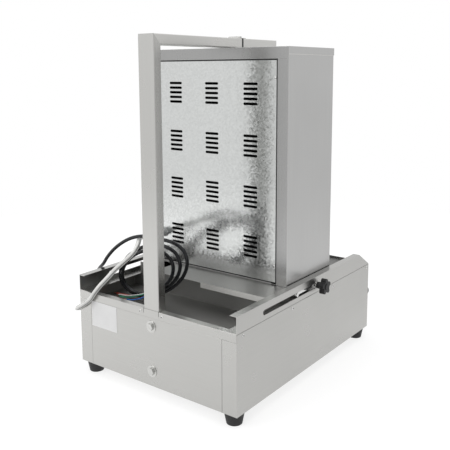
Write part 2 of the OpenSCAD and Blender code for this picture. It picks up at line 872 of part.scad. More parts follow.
// Arm hinge: the rear leaf has the outer knuckles, the front leaf the middle one
knuckle_w = leaf_w / 3;
knuckle_gap = 0.3;
module hinge_leaf(direction, knuckles) {
    y0 = direction > 0 ? hinge_y + leaf_start : hinge_y - leaf_start - leaf_l;
    difference() {
        union() {
            block([-leaf_w / 2, y0, arm_top], [leaf_w / 2, y0 + leaf_l, arm_top + leaf_t]);
            for (k = knuckles)
                rod_x(k[0], k[1], hinge_y, hinge_z, knuckle_r);
            for (k = knuckles)
                block([k[0], min(hinge_y, y0 + leaf_l / 2), arm_top + knuckle_lift],
                    [k[1], max(hinge_y, y0 + leaf_l / 2), arm_top + leaf_t]);
        }
        rod_x(-leaf_w, leaf_w, hinge_y, hinge_z, hinge_pin_r + fit);
    }
}
module rear_hinge_leaf() {
    reach = knuckle_w / 2 + knuckle_gap;
    color(steel) difference() {
        hinge_leaf(1, [[-leaf_w / 2, -reach], [reach, leaf_w / 2]]);
        rod_x(-reach, reach, hinge_y, hinge_z, knuckle_r + knuckle_gap);
    }
}
module front_hinge_leaf() {
    reach = knuckle_w / 2;
    color(steel) difference() {
        hinge_leaf(-1, [[-reach, reach]]);
        both_sides() rod_x(reach, leaf_w, hinge_y, hinge_z, knuckle_r + knuckle_gap);
    }
}
module hinge_pin() {
    color(zinc) rod_x(-leaf_w / 2 - pin_proud, leaf_w / 2 + pin_proud, hinge_y, hinge_z, hinge_pin_r);
}
cap_t = 2;
plug_l = 2;
module front_arm() {
    color(steel) difference() {
        translate([0, front_arm_rear, arm_top - tube_d / 2]) rotate([90, 0, 0])
            linear_extrude(height = front_arm_l - cap_t) tube_section(tube_w, tube_d);
        rod_z(arm_low - cut, arm_low + tube_wall + cut, 0, spit_y, centre_stud_r + hole_play);
    }
}
module arm_end_cap() {
    half = tube_w / 2;
    plug = tube_wall + hole_play;
    color(steel) {
        block([-half, front_arm_end, arm_low], [half, front_arm_end + cap_t, arm_top]);
        block([-half + plug, front_arm_end, arm_low + plug],
            [half - plug, front_arm_end + cap_t + plug_l, arm_top - plug]);
    }
}
module top_centre() {
    nut_z = arm_low + tube_wall;
    color(bright) translate([0, spit_y, 0]) {
        body_low = centre_z + cone_h;
        nut_top = nut_z + centre_nut_h;
        translate([0, 0, centre_z]) cylinder(h = cone_h, r1 = cone_tip_r, r2 = cone_r);
        rod_z(body_low, arm_low, 0, 0, cone_r);
        rod_z(body_low, nut_top + thread_proud, 0, 0, centre_stud_r);
        difference() {
            translate([0, 0, nut_z]) cylinder(h = centre_nut_h, r = centre_nut_r, $fn = 6);
            rod_z(nut_z - cut, nut_top + cut, 0, 0, centre_stud_r + fit);
        }
    }
}

// Cabinet side on the +X side: wall, front lip, rear stile and the shelf behind the vent panel
module cabinet_side_profile() {
    shelf_y = panel_y0 - sheet;
    inner = cw - stile_w;
    translate([cw - sheet, cab_front]) square([sheet, cab_d]);
    translate([cw - lip_w, cab_front]) square([lip_w, sheet]);
    translate([inner, cab_rear - sheet]) square([stile_w, sheet]);
    translate([inner, shelf_y]) square([sheet, cab_rear - shelf_y]);
    translate([inner - shelf_w, shelf_y]) square([shelf_w + sheet, sheet]);
}
module cabinet_side() {
    shelf_y = panel_y0 - sheet;
    color(steel) difference() {
        union() {
            translate([0, 0, cab_low]) linear_extrude(height = side_top - cab_low) cabinet_side_profile();
            block([cw - sheet, cab_front, runner_low], [cw, runner_rear, cab_low + eps]);
        }
        for (z = [panel_screw_low, panel_screw_high])
            rod_y(shelf_y - cut, panel_y0 + cut, cw - stile_w - screw_in, z, screw_r + hole_play);
    }
}
module cabinet_left_side() {
    other_side() cabinet_side();
}
module cabinet_right_side() {
    cabinet_side();
}
module cabinet_lid() {
    out = cw + lid_t;
    y0 = cab_front - lid_t;
    y1 = cab_rear + lid_t;
    color(steel) {
        block([-out, y0, side_top], [out, y1, cab_top]);
        both_sides() block([cw, y0, cab_top - lid_skirt_h], [out, y1, cab_top]);
        block([-out, cab_rear, cab_top - lid_back_h], [out, y1, cab_top]);
        block([-out, y0, cab_top - lid_skirt_h], [out, cab_front, cab_top]);
    }
}
module cabinet_bottom() {
    inner = cw - sheet;
    color(steel) block([-inner, cab_front + sheet, cab_low], [inner, panel_y0 - sheet, cab_low + sheet]);
}
module vent_slot(x, z) {
    r = vent_h / 2;
    end = vent_l / 2 - r;
    block([x - end, panel_y0 - cut, z - r], [x + end, panel_y1 + cut, z + r]);
    for (side = [-end, end])
        rod_y(panel_y0 - cut, panel_y1 + cut, x + side, z, r);
}
module vent_panel() {
    color(zinc) difference() {
        block([-panel_w / 2, panel_y0, panel_low], [panel_w / 2, panel_y1, panel_high]);
        for (col = [0 : vent_cols - 1], row = [0 : vent_rows - 1], k = [0 : vent_slots - 1])
            vent_slot((col - (vent_cols - 1) / 2) * vent_col_pitch,
                vent_top - row * vent_row_pitch - k * vent_pitch);
        for (x = [-1, 1], z = [panel_screw_low, panel_screw_high])
            rod_y(panel_y0 - cut, panel_y1 + cut, x * (cw - stile_w - screw_in), z, screw_r + hole_play);
        rod_y(panel_y0 - cut, panel_y1 + cut, gland_x, gland_z, sleeve_d / 2 + gland_wall + hole_play);
    }
}
module cabinet_screws() {
    color(zinc) {
        for (x = [-1, 1], z = [panel_screw_low, panel_screw_high])
            translate([x * (cw - stile_w - screw_in), panel_y1, z]) rotate([-90, 0, 0])
                pan_screw(screw_grip);
        both_sides() {
            rod_x(cw + runner_web, half_w, guide_y, slot_mid_z, guide_r);
            translate([runner_out, guide_y, slot_mid_z]) rotate([0, 90, 0]) rotate([0, 0, 30])
                cylinder(h = half_w - runner_out, r = guide_head_af / 2 / cos(30), $fn = 6);
        }
    }
}
reflector_ends = 8;
reflector_side = 4;
reflector_wing = 34;
reflector_low = cab_low + sheet + reflector_ends;
reflector_high = side_top - reflector_ends;
reflector_half = cw - sheet - reflector_side;
module lead_holes(y0, y1, r) {
    for (z = element_zs, s = [-1, 1])
        rod_y(y0, y1, element_half, z + s * element_gap / 2, r);
}
module reflector() {
    wing_y = reflector_y - reflector_wing;
    color([0.9, 0.9, 0.9]) difference() {
        union() {
            block([-reflector_half, reflector_y, reflector_low],
                [reflector_half, reflector_y + sheet, reflector_high]);
            for (z = [reflector_low, reflector_high - sheet])
                block([-reflector_half, wing_y, z],
                    [reflector_half, reflector_y + sheet, z + sheet]);
            both_sides() {
                block([reflector_half - sheet, wing_y, reflector_low],
                    [reflector_half + reflector_side, wing_y + sheet, reflector_high]);
                block([reflector_half - sheet, wing_y, reflector_low],
                    [reflector_half, reflector_y, reflector_high]);
            }
        }
        lead_holes(reflector_y - cut, reflector_y + sheet + cut, element_r + hole_play);
    }
}
module insulation_board() {
    color("lightgoldenrodyellow") difference() {
        block([-reflector_half, insulation_y, reflector_low],
            [reflector_half, insulation_y + insulation_t, reflector_high]);
        lead_holes(insulation_y - cut, insulation_y + insulation_t + cut, element_r + hole_play);
    }
}

// One hairpin element: two legs, a return bend and two elbows back through the reflector
module quarter_bend(bend, r) {
    rotate_extrude(angle = 90) translate([bend, 0]) circle(r = r);
}
module heating_element() {
    half_gap = element_gap / 2;
    leg_end = element_half - elbow_r;
    bend_x = -element_half + half_gap;
    for (s = [-1, 1]) {
        rod_x(bend_x, leg_end, 0, s * half_gap, element_r);
        translate([leg_end, elbow_r, s * half_gap]) rotate([0, 0, -90]) quarter_bend(elbow_r, element_r);
        rod_y(elbow_r, lead_l, element_half, s * half_gap, element_r);
    }
    translate([bend_x, 0, 0]) rotate([90, 0, 0]) rotate([0, 0, 90])
        rotate_extrude(angle = 180) translate([half_gap, 0]) circle(r = element_r);
}
module heating_elements() {
    color([0.35, 0.33, 0.32]) for (z = element_zs)
        translate([0, element_y, z]) heating_element();
}
module element_brackets() {
    reach = element_r + bracket_edge;
    low = element_low - element_gap / 2 - bracket_end;
    high = element_high + element_gap / 2 + bracket_end;
    color(bright) for (x = [-bracket_x, bracket_x])
        difference() {
            block([x - sheet / 2, element_y - reach, low], [x + sheet / 2, reflector_y, high]);
            for (z = element_zs, s = [-1, 1])
                rod_x(x - sheet, x + sheet, element_y, z + s * element_gap / 2, element_r + hole_play);
        }
}
module guard_grille() {
    low = cab_low + sheet + wire_r + slip;
    high = side_top - wire_r - guard_top_gap;
    count = floor((high - low) / guard_pitch);
    step = (high - low) / count;
    color(bright) {
        for (i = [0 : count])
            rod_x(-guard_half, guard_half, guard_y, low + i * step, wire_r);
        for (x = [-1, 0, 1] * (guard_half - guard_strip_w))
            block([x - guard_strip_w / 2, guard_y, low - wire_r],
                [x + guard_strip_w / 2, guard_y + wire_r + sheet, high + wire_r]);
    }
}

module runner_bars() {
    color(bright) both_sides() difference() {
        block([cw, cab_front, runner_low], [runner_out, runner_rear, runner_top]);
        rod_x(cw - cut, runner_out + cut, stud_y, slot_mid_z, stud_r + fit);
        rod_x(cw + runner_web, runner_out + cut, guide_y, slot_mid_z, guide_r + fit);
    }
}
module cabinet_gland() {
    color(dark) translate([gland_x, panel_y1, gland_z]) rotate([-90, 0, 0]) {
        difference() {
            union() {
                translate([0, 0, -gland_nut_h])
                    cylinder(h = gland_nut_h + eps, r = sleeve_d / 2 + gland_wall);
                cylinder(h = gland_nut_h, r = gland_nut_r, $fn = 6);
                translate([0, 0, gland_nut_h]) cylinder(h = gland_out - gland_nut_h, r = gland_r);
            }
            translate([0, 0, -gland_nut_h - cut])
                cylinder(h = gland_nut_h + 2 * cut, r = sleeve_d / 2 - gland_wall);
        }
    }
}

// Clamp on the +X side: a lobed knob on a screw that goes through the slot into the runner
module knob_star() {
    lobe_at = knob_r - lobe_r;
    circle(r = lobe_at);
    for (i = [0 : lobe_count - 1])
        rotate(180 + i * 360 / lobe_count) translate([lobe_at, 0]) circle(r = lobe_r);
}
module clamp_knob() {
    base_x = half_w + slip + washer_t;
    star_l = knob_l - neck_l - cap_rise;
    cap_r = knob_r - 2 * lobe_r;
    color([0.1, 0.1, 0.11]) translate([base_x, stud_y, slot_mid_z]) rotate([0, 90, 0])
        difference() {
            union() {
                cylinder(h = neck_l + star_l / 2, r = neck_r);
                translate([0, 0, neck_l]) linear_extrude(height = star_l) knob_star();
                translate([0, 0, neck_l + star_l / 2]) cylinder(h = star_l / 2 + cap_rise, r = cap_r);
            }
            translate([0, 0, -cut]) cylinder(h = cut + neck_l + stud_bite, r = stud_r);
        }
}
module clamp_screw() {
    washer_x = half_w + slip;
    color(zinc) {
        rod_x(cw + runner_web, washer_x + washer_t + neck_l + stud_bite, stud_y, slot_mid_z, stud_r);
        rod_x(washer_x, washer_x + washer_t, stud_y, slot_mid_z, clamp_washer_r);
    }
}
module left_clamp_knob() {
    other_side() clamp_knob();
}
module right_clamp_knob() {
    clamp_knob();
}
module left_clamp_screw() {
    other_side() clamp_screw();
}
module right_clamp_screw() {
    clamp_screw();
}

// Drip pan around the spit's drive
module drip_pan() {
    top = z_rim + pan_h;
    collar_top = top - collar_drop;
    color(bright) difference() {
        union() {
            difference() {
                block([-pan_half, pan_front, z_rim], [pan_half, pan_rear, top]);
                block([-pan_half + pan_wall, pan_front + pan_wall, z_rim + pan_wall],
                    [pan_half - pan_wall, pan_rear - pan_wall, top + cut]);
            }
            rod_z(z_rim, collar_top, 0, spit_y, collar_r + pan_wall);
        }
        rod_z(z_rim - cut, top, 0, spit_y, collar_r);
    }
}
module spindle_bush(top) {
    difference() {
        union() {
            rod_z(top - bush_l, top, 0, 0, spindle_r + bush_wall);
            rod_z(top, top + bush_flange_t, 0, 0, bush_flange_r);
        }
        rod_z(top - bush_l - cut, top + bush_flange_t + cut, 0, 0, spindle_r + fit);
    }
}
module spindle_bushes() {
    color(brass) translate([0, spit_y, 0]) {
        spindle_bush(z_rim);
        spindle_bush(bracket_z + bracket_t);
    }
}
module gear_motor() {
    color([0.3, 0.32, 0.35]) translate([centre_dist, spit_y, 0]) difference() {
        union() {
            block([-motor_w / 2, -motor_w / 2, bracket_z - gearbox_h], [motor_w / 2, motor_w / 2, bracket_z]);
            rod_z(bracket_z - motor_h, bracket_z - gearbox_h / 2, 0, 0, motor_r);
        }
        rod_z(bracket_z - shaft_depth, bracket_z + cut, 0, 0, pinion_shaft_r + fit);
    }
}
module motor_bracket() {
    x0 = -bush_flange_r - bracket_left;
    x1 = centre_dist + motor_w / 2 + bracket_right;
    half_y = motor_w / 2 + bracket_sides;
    low = z_low + sheet;
    color(zinc) translate([0, spit_y, 0]) difference() {
        union() {
            block([x0, -half_y, bracket_z], [x1, half_y, bracket_z + bracket_t]);
            for (s = [-1, 1]) {
                y_in = s * (half_y - bracket_t / 2);
                block([x0, y_in - bracket_t / 2, low], [x1, y_in + bracket_t / 2, bracket_z + bracket_t]);
                y_out = y_in + s * bracket_foot_w;
                block([x0, min(y_in, y_out), low], [x1, max(y_in, y_out), low + bracket_t]);
            }
        }
        rod_z(bracket_z - cut, bracket_z + bracket_t + cut, 0, 0, spindle_r + bush_wall + hole_play);
        rod_z(bracket_z - cut, bracket_z + bracket_t + cut, centre_dist, 0, pinion_shaft_r + pinion_hole_gap);
    }
}

// Spur gear with straight-sided teeth; the first tooth points along +X
tooth_root = 1.25;
tooth_tip = 0.9;
tooth_wide = 0.27;
tooth_narrow = 0.12;
function tooth(i, n, m) =
    let (step = 360 / n, root = m * (n / 2 - tooth_root), tip = m * (n / 2 + tooth_tip))
    [for (c = [[root, -tooth_wide], [tip, -tooth_narrow], [tip, tooth_narrow], [root, tooth_wide]])
        let (a = step * (i + c[1])) [c[0] * cos(a), c[0] * sin(a)]];
module spur_gear(n, m, h) {
    linear_extrude(height = h) polygon([for (i = [0 : n - 1]) each tooth(i, n, m)]);
}
module motor_pinion() {
    color(zinc) translate([centre_dist, spit_y, 0]) {
        translate([0, 0, gear_z]) rotate([0, 0, 180 + 180 / pinion_teeth])
            spur_gear(pinion_teeth, gear_m, gear_h);
        rod_z(bracket_z - shaft_depth + shaft_end_gap, gear_z + gear_h, 0, 0, pinion_shaft_r);
    }
}
module drive_gear() {
    color(brass) translate([0, spit_y, 0]) difference() {
        union() {
            translate([0, 0, gear_z]) spur_gear(gear_teeth, gear_m, gear_h);
            rod_z(gear_z, gear_z + gear_h + hub_h, 0, 0, spindle_r + hub_wall);
        }
        rod_z(gear_z - cut, gear_z + gear_h + hub_h + cut, 0, 0, spindle_r);
    }
}
module drive_spindle() {
    square_gap = spit_square / 2 + socket_play;
    socket_low = spindle_top - socket_h;
    color(zinc) translate([0, spit_y, 0]) difference() {
        union() {
            rod_z(bracket_z - bush_l, socket_low, 0, 0, spindle_r);
            rod_z(socket_low - socket_floor, spindle_top, 0, 0, socket_r);
        }
        block([-square_gap, -square_gap, socket_low], [square_gap, square_gap, spindle_top + cut]);
    }
}
module spit_shaft() {
    half = spit_square / 2;
    cup_low = spit_top - cup_h;
    seat_h = cone_h + seat_over;
    color(bright) translate([0, spit_y, 0]) difference() {
        union() {
            block([-half, -half, spindle_top - socket_h + slip], [half, half, disc_z]);
            rod_z(disc_z - cut, spit_top, 0, 0, spit_r);
            rod_z(cup_low, spit_top, 0, 0, cup_r);
        }
        translate([0, 0, centre_z - cone_gap])
            cylinder(h = seat_h, r1 = cone_tip_r + cone_gap,
                r2 = cone_tip_r + cone_gap + (cone_r - cone_tip_r) * seat_h / cone_h);
    }
}
module spit_disc() {
    color(bright) translate([0, spit_y, 0]) difference() {
        union() {
            rod_z(disc_z, disc_z + disc_t, 0, 0, disc_r);
            rod_z(disc_z, disc_z + disc_hub_h, 0, 0, spit_r + disc_hub_wall);
        }
        rod_z(disc_z - cut, disc_z + disc_hub_h + cut, 0, 0, spit_r);
    }
}

// Controls on the front panel
module heat_regulators() {
    half = regulator_w / 2;
    color(dark) for (x = [-heat_knob_xs, heat_knob_xs])
        difference() {
            translate([x, 0, heat_knob_zs])
                block([-half, front + sheet, -half], [half, front + sheet + regulator_d, half]);
            rod_y(front - cut, front + sheet + heat_shaft_in + heat_shaft_gap, x, heat_knob_zs,
                heat_shaft_r + fit);
        }
}
module heat_knob(x) {
    base_y = front - heat_knob_gap;
    end_y = base_y - heat_knob_l;
    color([0.1, 0.1, 0.11]) translate([x, 0, heat_knob_zs]) {
        rod_y(base_y - skirt_h, base_y, 0, 0, heat_knob_r);
        rod_y(end_y + pointer_rise, base_y, 0, 0, heat_grip_r);
        block([-pointer_w / 2, end_y, -heat_grip_r],
            [pointer_w / 2, base_y - skirt_h, heat_knob_r - pointer_end]);
        rod_y(base_y - skirt_h / 2, front + sheet + heat_shaft_in, 0, 0, heat_shaft_r);
    }
}
module left_heat_knob() {
    heat_knob(-heat_knob_xs);
}
module right_heat_knob() {
    heat_knob(heat_knob_xs);
}
rocker_y = front + rocker_in;
module motor_switch() {
    half_x = switch_w / 2;
    half_z = switch_h / 2;
    out_x = half_x + switch_bezel;
    out_z = half_z + switch_bezel;
    cheek = half_x - switch_wall;
    pin_half = cheek + rocker_pin_seat;
    color(dark) translate([0, 0, switch_z]) difference() {
        union() {
            block([-half_x, front - switch_lip, -half_z], [half_x, front + switch_depth, half_z]);
            block([-out_x, front - switch_lip, -out_z], [out_x, front, out_z]);
        }
        block([-cheek, front - switch_lip - cut, -half_z + switch_wall],
            [cheek, front + switch_depth - switch_wall, half_z - switch_wall]);
        rod_x(-pin_half, pin_half, rocker_y, 0, rocker_pin_r + fit);
    }
}
module motor_rocker() {
    half_x = switch_w / 2 - switch_wall - rocker_gap;
    half_z = switch_h / 2 - switch_wall - rocker_gap;
    pin_half = switch_w / 2 - switch_wall + rocker_pin_seat - rocker_pin_play;
    color([0.55, 0.08, 0.07]) translate([0, rocker_y, switch_z]) rotate([rocker_tilt, 0, 0]) {
        block([-half_x, -rocker_d / 2, -half_z], [half_x, rocker_d / 2, half_z]);
        rod_x(-pin_half, pin_half, 0, 0, rocker_pin_r);
    }
}

// Cords
module cord_gland() {
    bore_r = cord_d / 2;
    low = -sheet - lock_nut_h;
    difference() {
        union() {
            translate([0, 0, low]) cylinder(h = eps - low, r = bore_r + gland_wall);
            translate([0, 0, low]) cylinder(h = lock_nut_h, r = bore_r + lock_nut_w, $fn = 6);
            cylinder(h = collar_h, r = bore_r + collar_w, $fn = 6);
            translate([0, 0, collar_h])
                cylinder(h = cord_gland_l - collar_h, r1 = bore_r + nose_low_w, r2 = bore_r + nose_tip_w);
        }
        translate([0, 0, low - cut]) cylinder(h = lock_nut_h + 2 * cut, r = bore_r - gland_wall);
    }
}
module sleeve_elbow() {
    bore_r = sleeve_d / 2;
    low = in_w - elbow_nut_h;
    mid = half_w + elbow_out;
    rod_x(low, half_w + eps, elbow_y, elbow_z, bore_r + gland_wall);
    rod_x(low, in_w, elbow_y, elbow_z, bore_r + elbow_nut_w);
    rod_x(half_w, half_w + elbow_collar_h, elbow_y, elbow_z, bore_r + elbow_collar_w);
    rod_x(half_w, mid, elbow_y, elbow_z, bore_r + elbow_wall);
    translate([mid, elbow_y, elbow_z]) sphere(r = bore_r + elbow_wall);
    rod_y(elbow_y, elbow_y + elbow_l, mid, elbow_z, bore_r + elbow_wall);
}
module cable_glands() {
    color(dark) {
        translate([half_w, cord_gland_y, cord_gland_z]) rotate([0, 90, 0]) cord_gland();
        sleeve_elbow();
    }
}
module supply_cord() {
    start = [half_w + cord_gland_l, cord_gland_y, cord_gland_z];
    bends = concat(cord_route, [coil_first - cord_d * coil_in]);
    path = concat([start], smooth_path(bends, route_steps), [coil_first]);
    color(dark) sweep_tube(path, cord_d / 2, cord_sides);
}
module cord_coil() {
    color(dark) sweep_tube(coil_path, cord_d / 2, coil_sides);
}
module conductor_tails() {
    side = any_normal(coil_out);
    up = cross(coil_out, side);
    count = len(tail_ends);
    ring_r = cord_d / 2 - tail_d / 2 - tail_play;
    for (i = [0 : count - 1]) {
        a = 360 * i / count;
        start = coil_last + ring_r * (cos(a) * side + sin(a) * up);
        bends = concat([start + 2 * tail_d * coil_out], tail_ends[i]);
        path = concat([start], smooth_path(bends, tail_steps));
        color(tail_colours[i]) sweep_tube(path, tail_d / 2, cord_sides);
    }
}
module heater_sleeve() {
    start = [gland_x, panel_y1 + gland_out, gland_z];
    finish = [half_w + elbow_out, elbow_y + elbow_l, elbow_z];
    run = [0, sleeve_d, 0];
    bends = concat([start + run], sleeve_route, [finish + run]);
    path = concat([start], smooth_path(bends, route_steps), [finish]);
    color("gainsboro") sweep_tube(path, sleeve_d / 2, sleeve_sides);
}

base_floor();
left_side_panel();
right_side_panel();
front_panel();
back_panel();
rear_rim();
top_plate();
well_tray();
deck_plate();
left_rail();
right_rail();
case_screws();
rating_plate();
rubber_feet();
foot_bolts();
rear_post();
top_arm();
post_bolts();
rear_hinge_leaf();
hinge_pin();
front_arm();
arm_end_cap();
front_hinge_leaf();
top_centre();
cabinet_left_side();
cabinet_right_side();
cabinet_lid();
cabinet_bottom();
vent_panel();
cabinet_screws();
reflector();
insulation_board();
heating_elements();
element_brackets();
guard_grille();
runner_bars();
cabinet_gland();
left_clamp_knob();
left_clamp_screw();
right_clamp_knob();
right_clamp_screw();
drip_pan();
spindle_bushes();
gear_motor();
motor_bracket();
motor_pinion();
drive_gear();
drive_spindle();
spit_shaft();
spit_disc();
heat_regulators();
left_heat_knob();
right_heat_knob();
motor_switch();
motor_rocker();
cable_glands();
supply_cord();
cord_coil();
conductor_tails();
heater_sleeve();
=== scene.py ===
"""Looks of the vertical kebab grill: its finishes, cords and small details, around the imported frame."""

import json
import math

import bmesh
import bpy
from mathutils import Matrix, Vector

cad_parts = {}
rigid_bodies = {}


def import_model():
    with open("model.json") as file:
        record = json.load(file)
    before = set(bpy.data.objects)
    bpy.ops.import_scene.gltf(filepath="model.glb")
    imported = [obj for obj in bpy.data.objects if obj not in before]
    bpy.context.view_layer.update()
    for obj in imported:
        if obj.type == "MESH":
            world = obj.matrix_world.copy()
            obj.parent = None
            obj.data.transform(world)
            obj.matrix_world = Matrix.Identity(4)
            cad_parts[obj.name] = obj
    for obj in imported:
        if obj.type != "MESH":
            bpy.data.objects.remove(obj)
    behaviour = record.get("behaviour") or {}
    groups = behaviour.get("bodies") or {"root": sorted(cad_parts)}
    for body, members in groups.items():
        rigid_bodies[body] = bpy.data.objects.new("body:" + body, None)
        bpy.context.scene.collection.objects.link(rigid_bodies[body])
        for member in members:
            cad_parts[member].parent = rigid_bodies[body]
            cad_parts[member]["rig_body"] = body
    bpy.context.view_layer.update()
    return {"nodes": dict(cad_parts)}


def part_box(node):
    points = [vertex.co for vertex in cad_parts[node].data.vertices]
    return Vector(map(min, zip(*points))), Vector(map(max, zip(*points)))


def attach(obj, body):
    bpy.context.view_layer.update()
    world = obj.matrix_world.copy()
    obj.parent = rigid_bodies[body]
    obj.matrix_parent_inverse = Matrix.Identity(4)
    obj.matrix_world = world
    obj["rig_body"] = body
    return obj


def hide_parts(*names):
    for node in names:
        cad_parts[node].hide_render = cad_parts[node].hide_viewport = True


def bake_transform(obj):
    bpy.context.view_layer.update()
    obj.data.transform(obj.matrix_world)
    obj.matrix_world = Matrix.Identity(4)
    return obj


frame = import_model()
nodes = frame["nodes"]
collection = bpy.context.scene.collection

MM = 0.001
LEFT, RIGHT = Vector((-1, 0, 0)), Vector((1, 0, 0))
FRONT, BACK = Vector((0, -1, 0)), Vector((0, 1, 0))
UP = Vector((0, 0, 1))

# Camera, in metres, degrees and pixels of the square photograph
CAMERA_AT = Vector((-1.0769, 1.4749, 0.8082))
CAMERA_AZIMUTH = 217.0
CAMERA_PITCH = 8.59
CAMERA_ROLL = -0.25
FOCAL_PX = 659.7
IMAGE_PX = 450
CENTRE_Y_PX = 170
SENSOR_MM = 36

# Round cords: steps round the tube, along it and along a measured line, and the divisor for a knot's handles
CORD_SIDE_STEPS = 4
CORD_CURVE_STEPS = 6
CORD_HANDLE_PART = 6
# Supply cord: its route from the gland over the rail to the coil, in millimetres
CORD_D = 9.5
CORD_START = Vector((284, 215, 150))
CORD_ROUTE = [
    (304, 215, 150), (334, 217, 162), (346, 221, 192), (334, 229, 222), (309, 243, 242),
    (285, 255, 261), (260, 263, 280), (242, 264, 302), (216, 265, 327), (184, 266, 350),
    (148, 268, 369), (110, 270, 381), (72, 273, 386), (46, 274, 386),
]
# Coil: a flattened spiral that leans back in the well, in millimetres, with its run in degrees
COIL_AT = Vector((93, 222, 205))
COIL_MID = 87.5
COIL_LONG, COIL_LONG_STEP = 156, 21
COIL_SHORT, COIL_SHORT_STEP = 72, 8
COIL_LAYER_STEP = 8
COIL_TURN = math.radians(30)
COIL_LEAN = math.radians(16)
COIL_START, COIL_END = 140, 1000
COIL_STEP = 15
COIL_TANGENT = 1
# Conductors at the cord's end, with their bare strands, in millimetres
TAIL_D = 3
TAIL_INSET = 0.2
TAIL_RING = CORD_D / 2 - TAIL_D / 2 - TAIL_INSET
TAIL_RUN = 2 * TAIL_D
TAIL_ENDS = {
    "red": [(130, 245, 211), (175, 243, 199), (240, 245, 195)],
    "brown": [(125, 250, 207), (158, 254, 197), (190, 255, 195)],
    "blue": [(124, 255, 206), (152, 262, 197), (180, 265, 195)],
    "green": [(130, 254, 212), (172, 259, 199), (214, 259, 195)],
    "white": [(130, 249, 214), (178, 249, 200), (226, 250, 195)],
}
TAIL_COLOURS = {
    "red": (0.45, 0.03, 0.02),
    "brown": (0.13, 0.055, 0.03),
    "blue": (0.02, 0.17, 0.58),
    "green": (0.02, 0.24, 0.13),
    "white": (0.75, 0.75, 0.73),
}
STRAND_L = 9
STRAND_D = 1.8
STRAND_SEAT = 1
# Heater sleeve: from the cabinet's gland to the elbow on the right side panel, in millimetres
SLEEVE_D = 13
SLEEVE_START = Vector((175, 123, 351.3))
SLEEVE_FINISH = Vector((279, 316, 168))
SLEEVE_ROUTE = [
    (168, 180, 357), (153, 216, 363), (133, 248, 367), (115, 270, 366), (106, 287, 356),
    (109, 299, 342), (122, 306, 327), (139, 312, 311), (156, 319, 294), (172, 330, 273),
    (186, 345, 252), (196, 356, 234), (209, 360, 215), (230, 360, 199), (253, 360, 184),
    (271, 352, 174),
]
# The sleeve's section: grooves as a share of its radius, painted dark as shade where they are deeper than a
# share of that
SLEEVE_LOBES = 3
SLEEVE_GROOVE_DEPTH = 0.30
SLEEVE_GROOVE_POWER = 4
SLEEVE_GROOVE_DARK = 0.55
SLEEVE_SIDES = 48
SLEEVE_STEPS = 6


# Shader helpers
def material(name):
    """A new node material, with its tree and its shader."""
    made = bpy.data.materials.new(name)
    made.use_nodes = True
    return made, made.node_tree, made.node_tree.nodes["Principled BSDF"]


def node(tree, kind, **values):
    """A node of the tree, with settings by attribute name and inputs by input name."""
    made = tree.nodes.new(kind)
    for key, value in values.items():
        if hasattr(made, key):
            setattr(made, key, value)
        else:
            made.inputs[key.replace("_", " ")].default_value = value
    return made


def noise(tree, scale, detail=2.0, rough=0.5):
    """Noise in object space, stretched by a scale in cycles per metre along each axis."""
    at = node(tree, "ShaderNodeTexCoord")
    mapping = node(tree, "ShaderNodeMapping", Scale=scale)
    made = node(tree, "ShaderNodeTexNoise", Scale=1.0, Detail=detail, Roughness=rough)
    tree.links.new(at.outputs["Object"], mapping.inputs["Vector"])
    tree.links.new(mapping.outputs["Vector"], made.inputs["Vector"])
    return made.outputs["Fac"]


def ranged(tree, value, low, high, low_in=0.3, high_in=0.7):
    """A value moved from one range to another."""
    made = node(tree, "ShaderNodeMapRange")
    tree.links.new(value, made.inputs["Value"])
    for key, number in (("From Min", low_in), ("From Max", high_in), ("To Min", low), ("To Max", high)):
        made.inputs[key].default_value = number
    return made.outputs["Result"]


def mixed(tree, factor, a, b):
    """Two colours mixed by a factor."""
    made = node(tree, "ShaderNodeMix", data_type="RGBA")
    tree.links.new(factor, made.inputs["Factor"])
    made.inputs["A"].default_value = (*a, 1)
    made.inputs["B"].default_value = (*b, 1)
    return made.outputs["Result"]


def bumped(tree, shader, height, strength, distance):
    """A bump from a height, on the shader's normal."""
    made = node(tree, "ShaderNodeBump", Strength=strength, Distance=distance)
    tree.links.new(height, made.inputs["Height"])
    tree.links.new(made.outputs["Normal"], shader.inputs["Normal"])
    return made


def shade(colour, amount):
    """A colour made darker or lighter."""
    return tuple(min(1.0, c * amount) for c in colour)


def toned(tree, shader, pattern, colour, spread):
    """A base colour that a pattern makes a little darker and lighter."""
    tint = mixed(tree, ranged(tree, pattern, 0, 1), shade(colour, 1 - spread), shade(colour, 1 + spread))
    tree.links.new(tint, shader.inputs["Base Color"])


def roughened(tree, shader, pattern, rough, spread):
    """A roughness that a pattern moves down and up by a spread."""
    low, high = spread
    tree.links.new(ranged(tree, pattern, rough + low, rough + high), shader.inputs["Roughness"])


# Finishes: scales in cycles per metre, tones as shares of a colour, spreads of roughness below and above
GRAIN_ACROSS = (5, 5, 900)
GRAIN_UP = (750, 750, 4)
GRAIN_ALONG = (750, 4, 750)
GRAIN_TONE = 0.025
CLOUDS = (6, 6, 6)
CLOUD_ROUGH = (-0.05, 0.05)
SPANGLE = 270.0
SPANGLE_TILT = 0.05
SPANGLE_MIDDLE = (0.5, 0.5, 0.5)
SPANGLE_TONES = (0.94, 1.05)
SPANGLE_ROUGH = (0.13, 0.24)
SPANGLE_WARP = 260.0
SPANGLE_WARP_AMOUNT = 0.004
DENTS = (40, 40, 40)
SPOTS = (90, 90, 90)
SPOT_ROUGH = (-0.04, 0.05)
WEAR = (25, 25, 25)
WEAR_ROUGH = (-0.06, 0.06)
FIBRES = (400, 60, 400)
# Board tones near black, as painted shade seen through the vent slots
FIBRE_SHADE_TONES = (0.010, 0.010, 0.010), (0.030, 0.029, 0.028)
FIBRE_ROUGH = 0.95
BRAID = (900, 900, 900)
STAINS = (30, 30, 30)
SLEEVE_TONES = (0.72, 0.72, 0.70), (0.86, 0.86, 0.84)
SLEEVE_ROUGH = 0.30


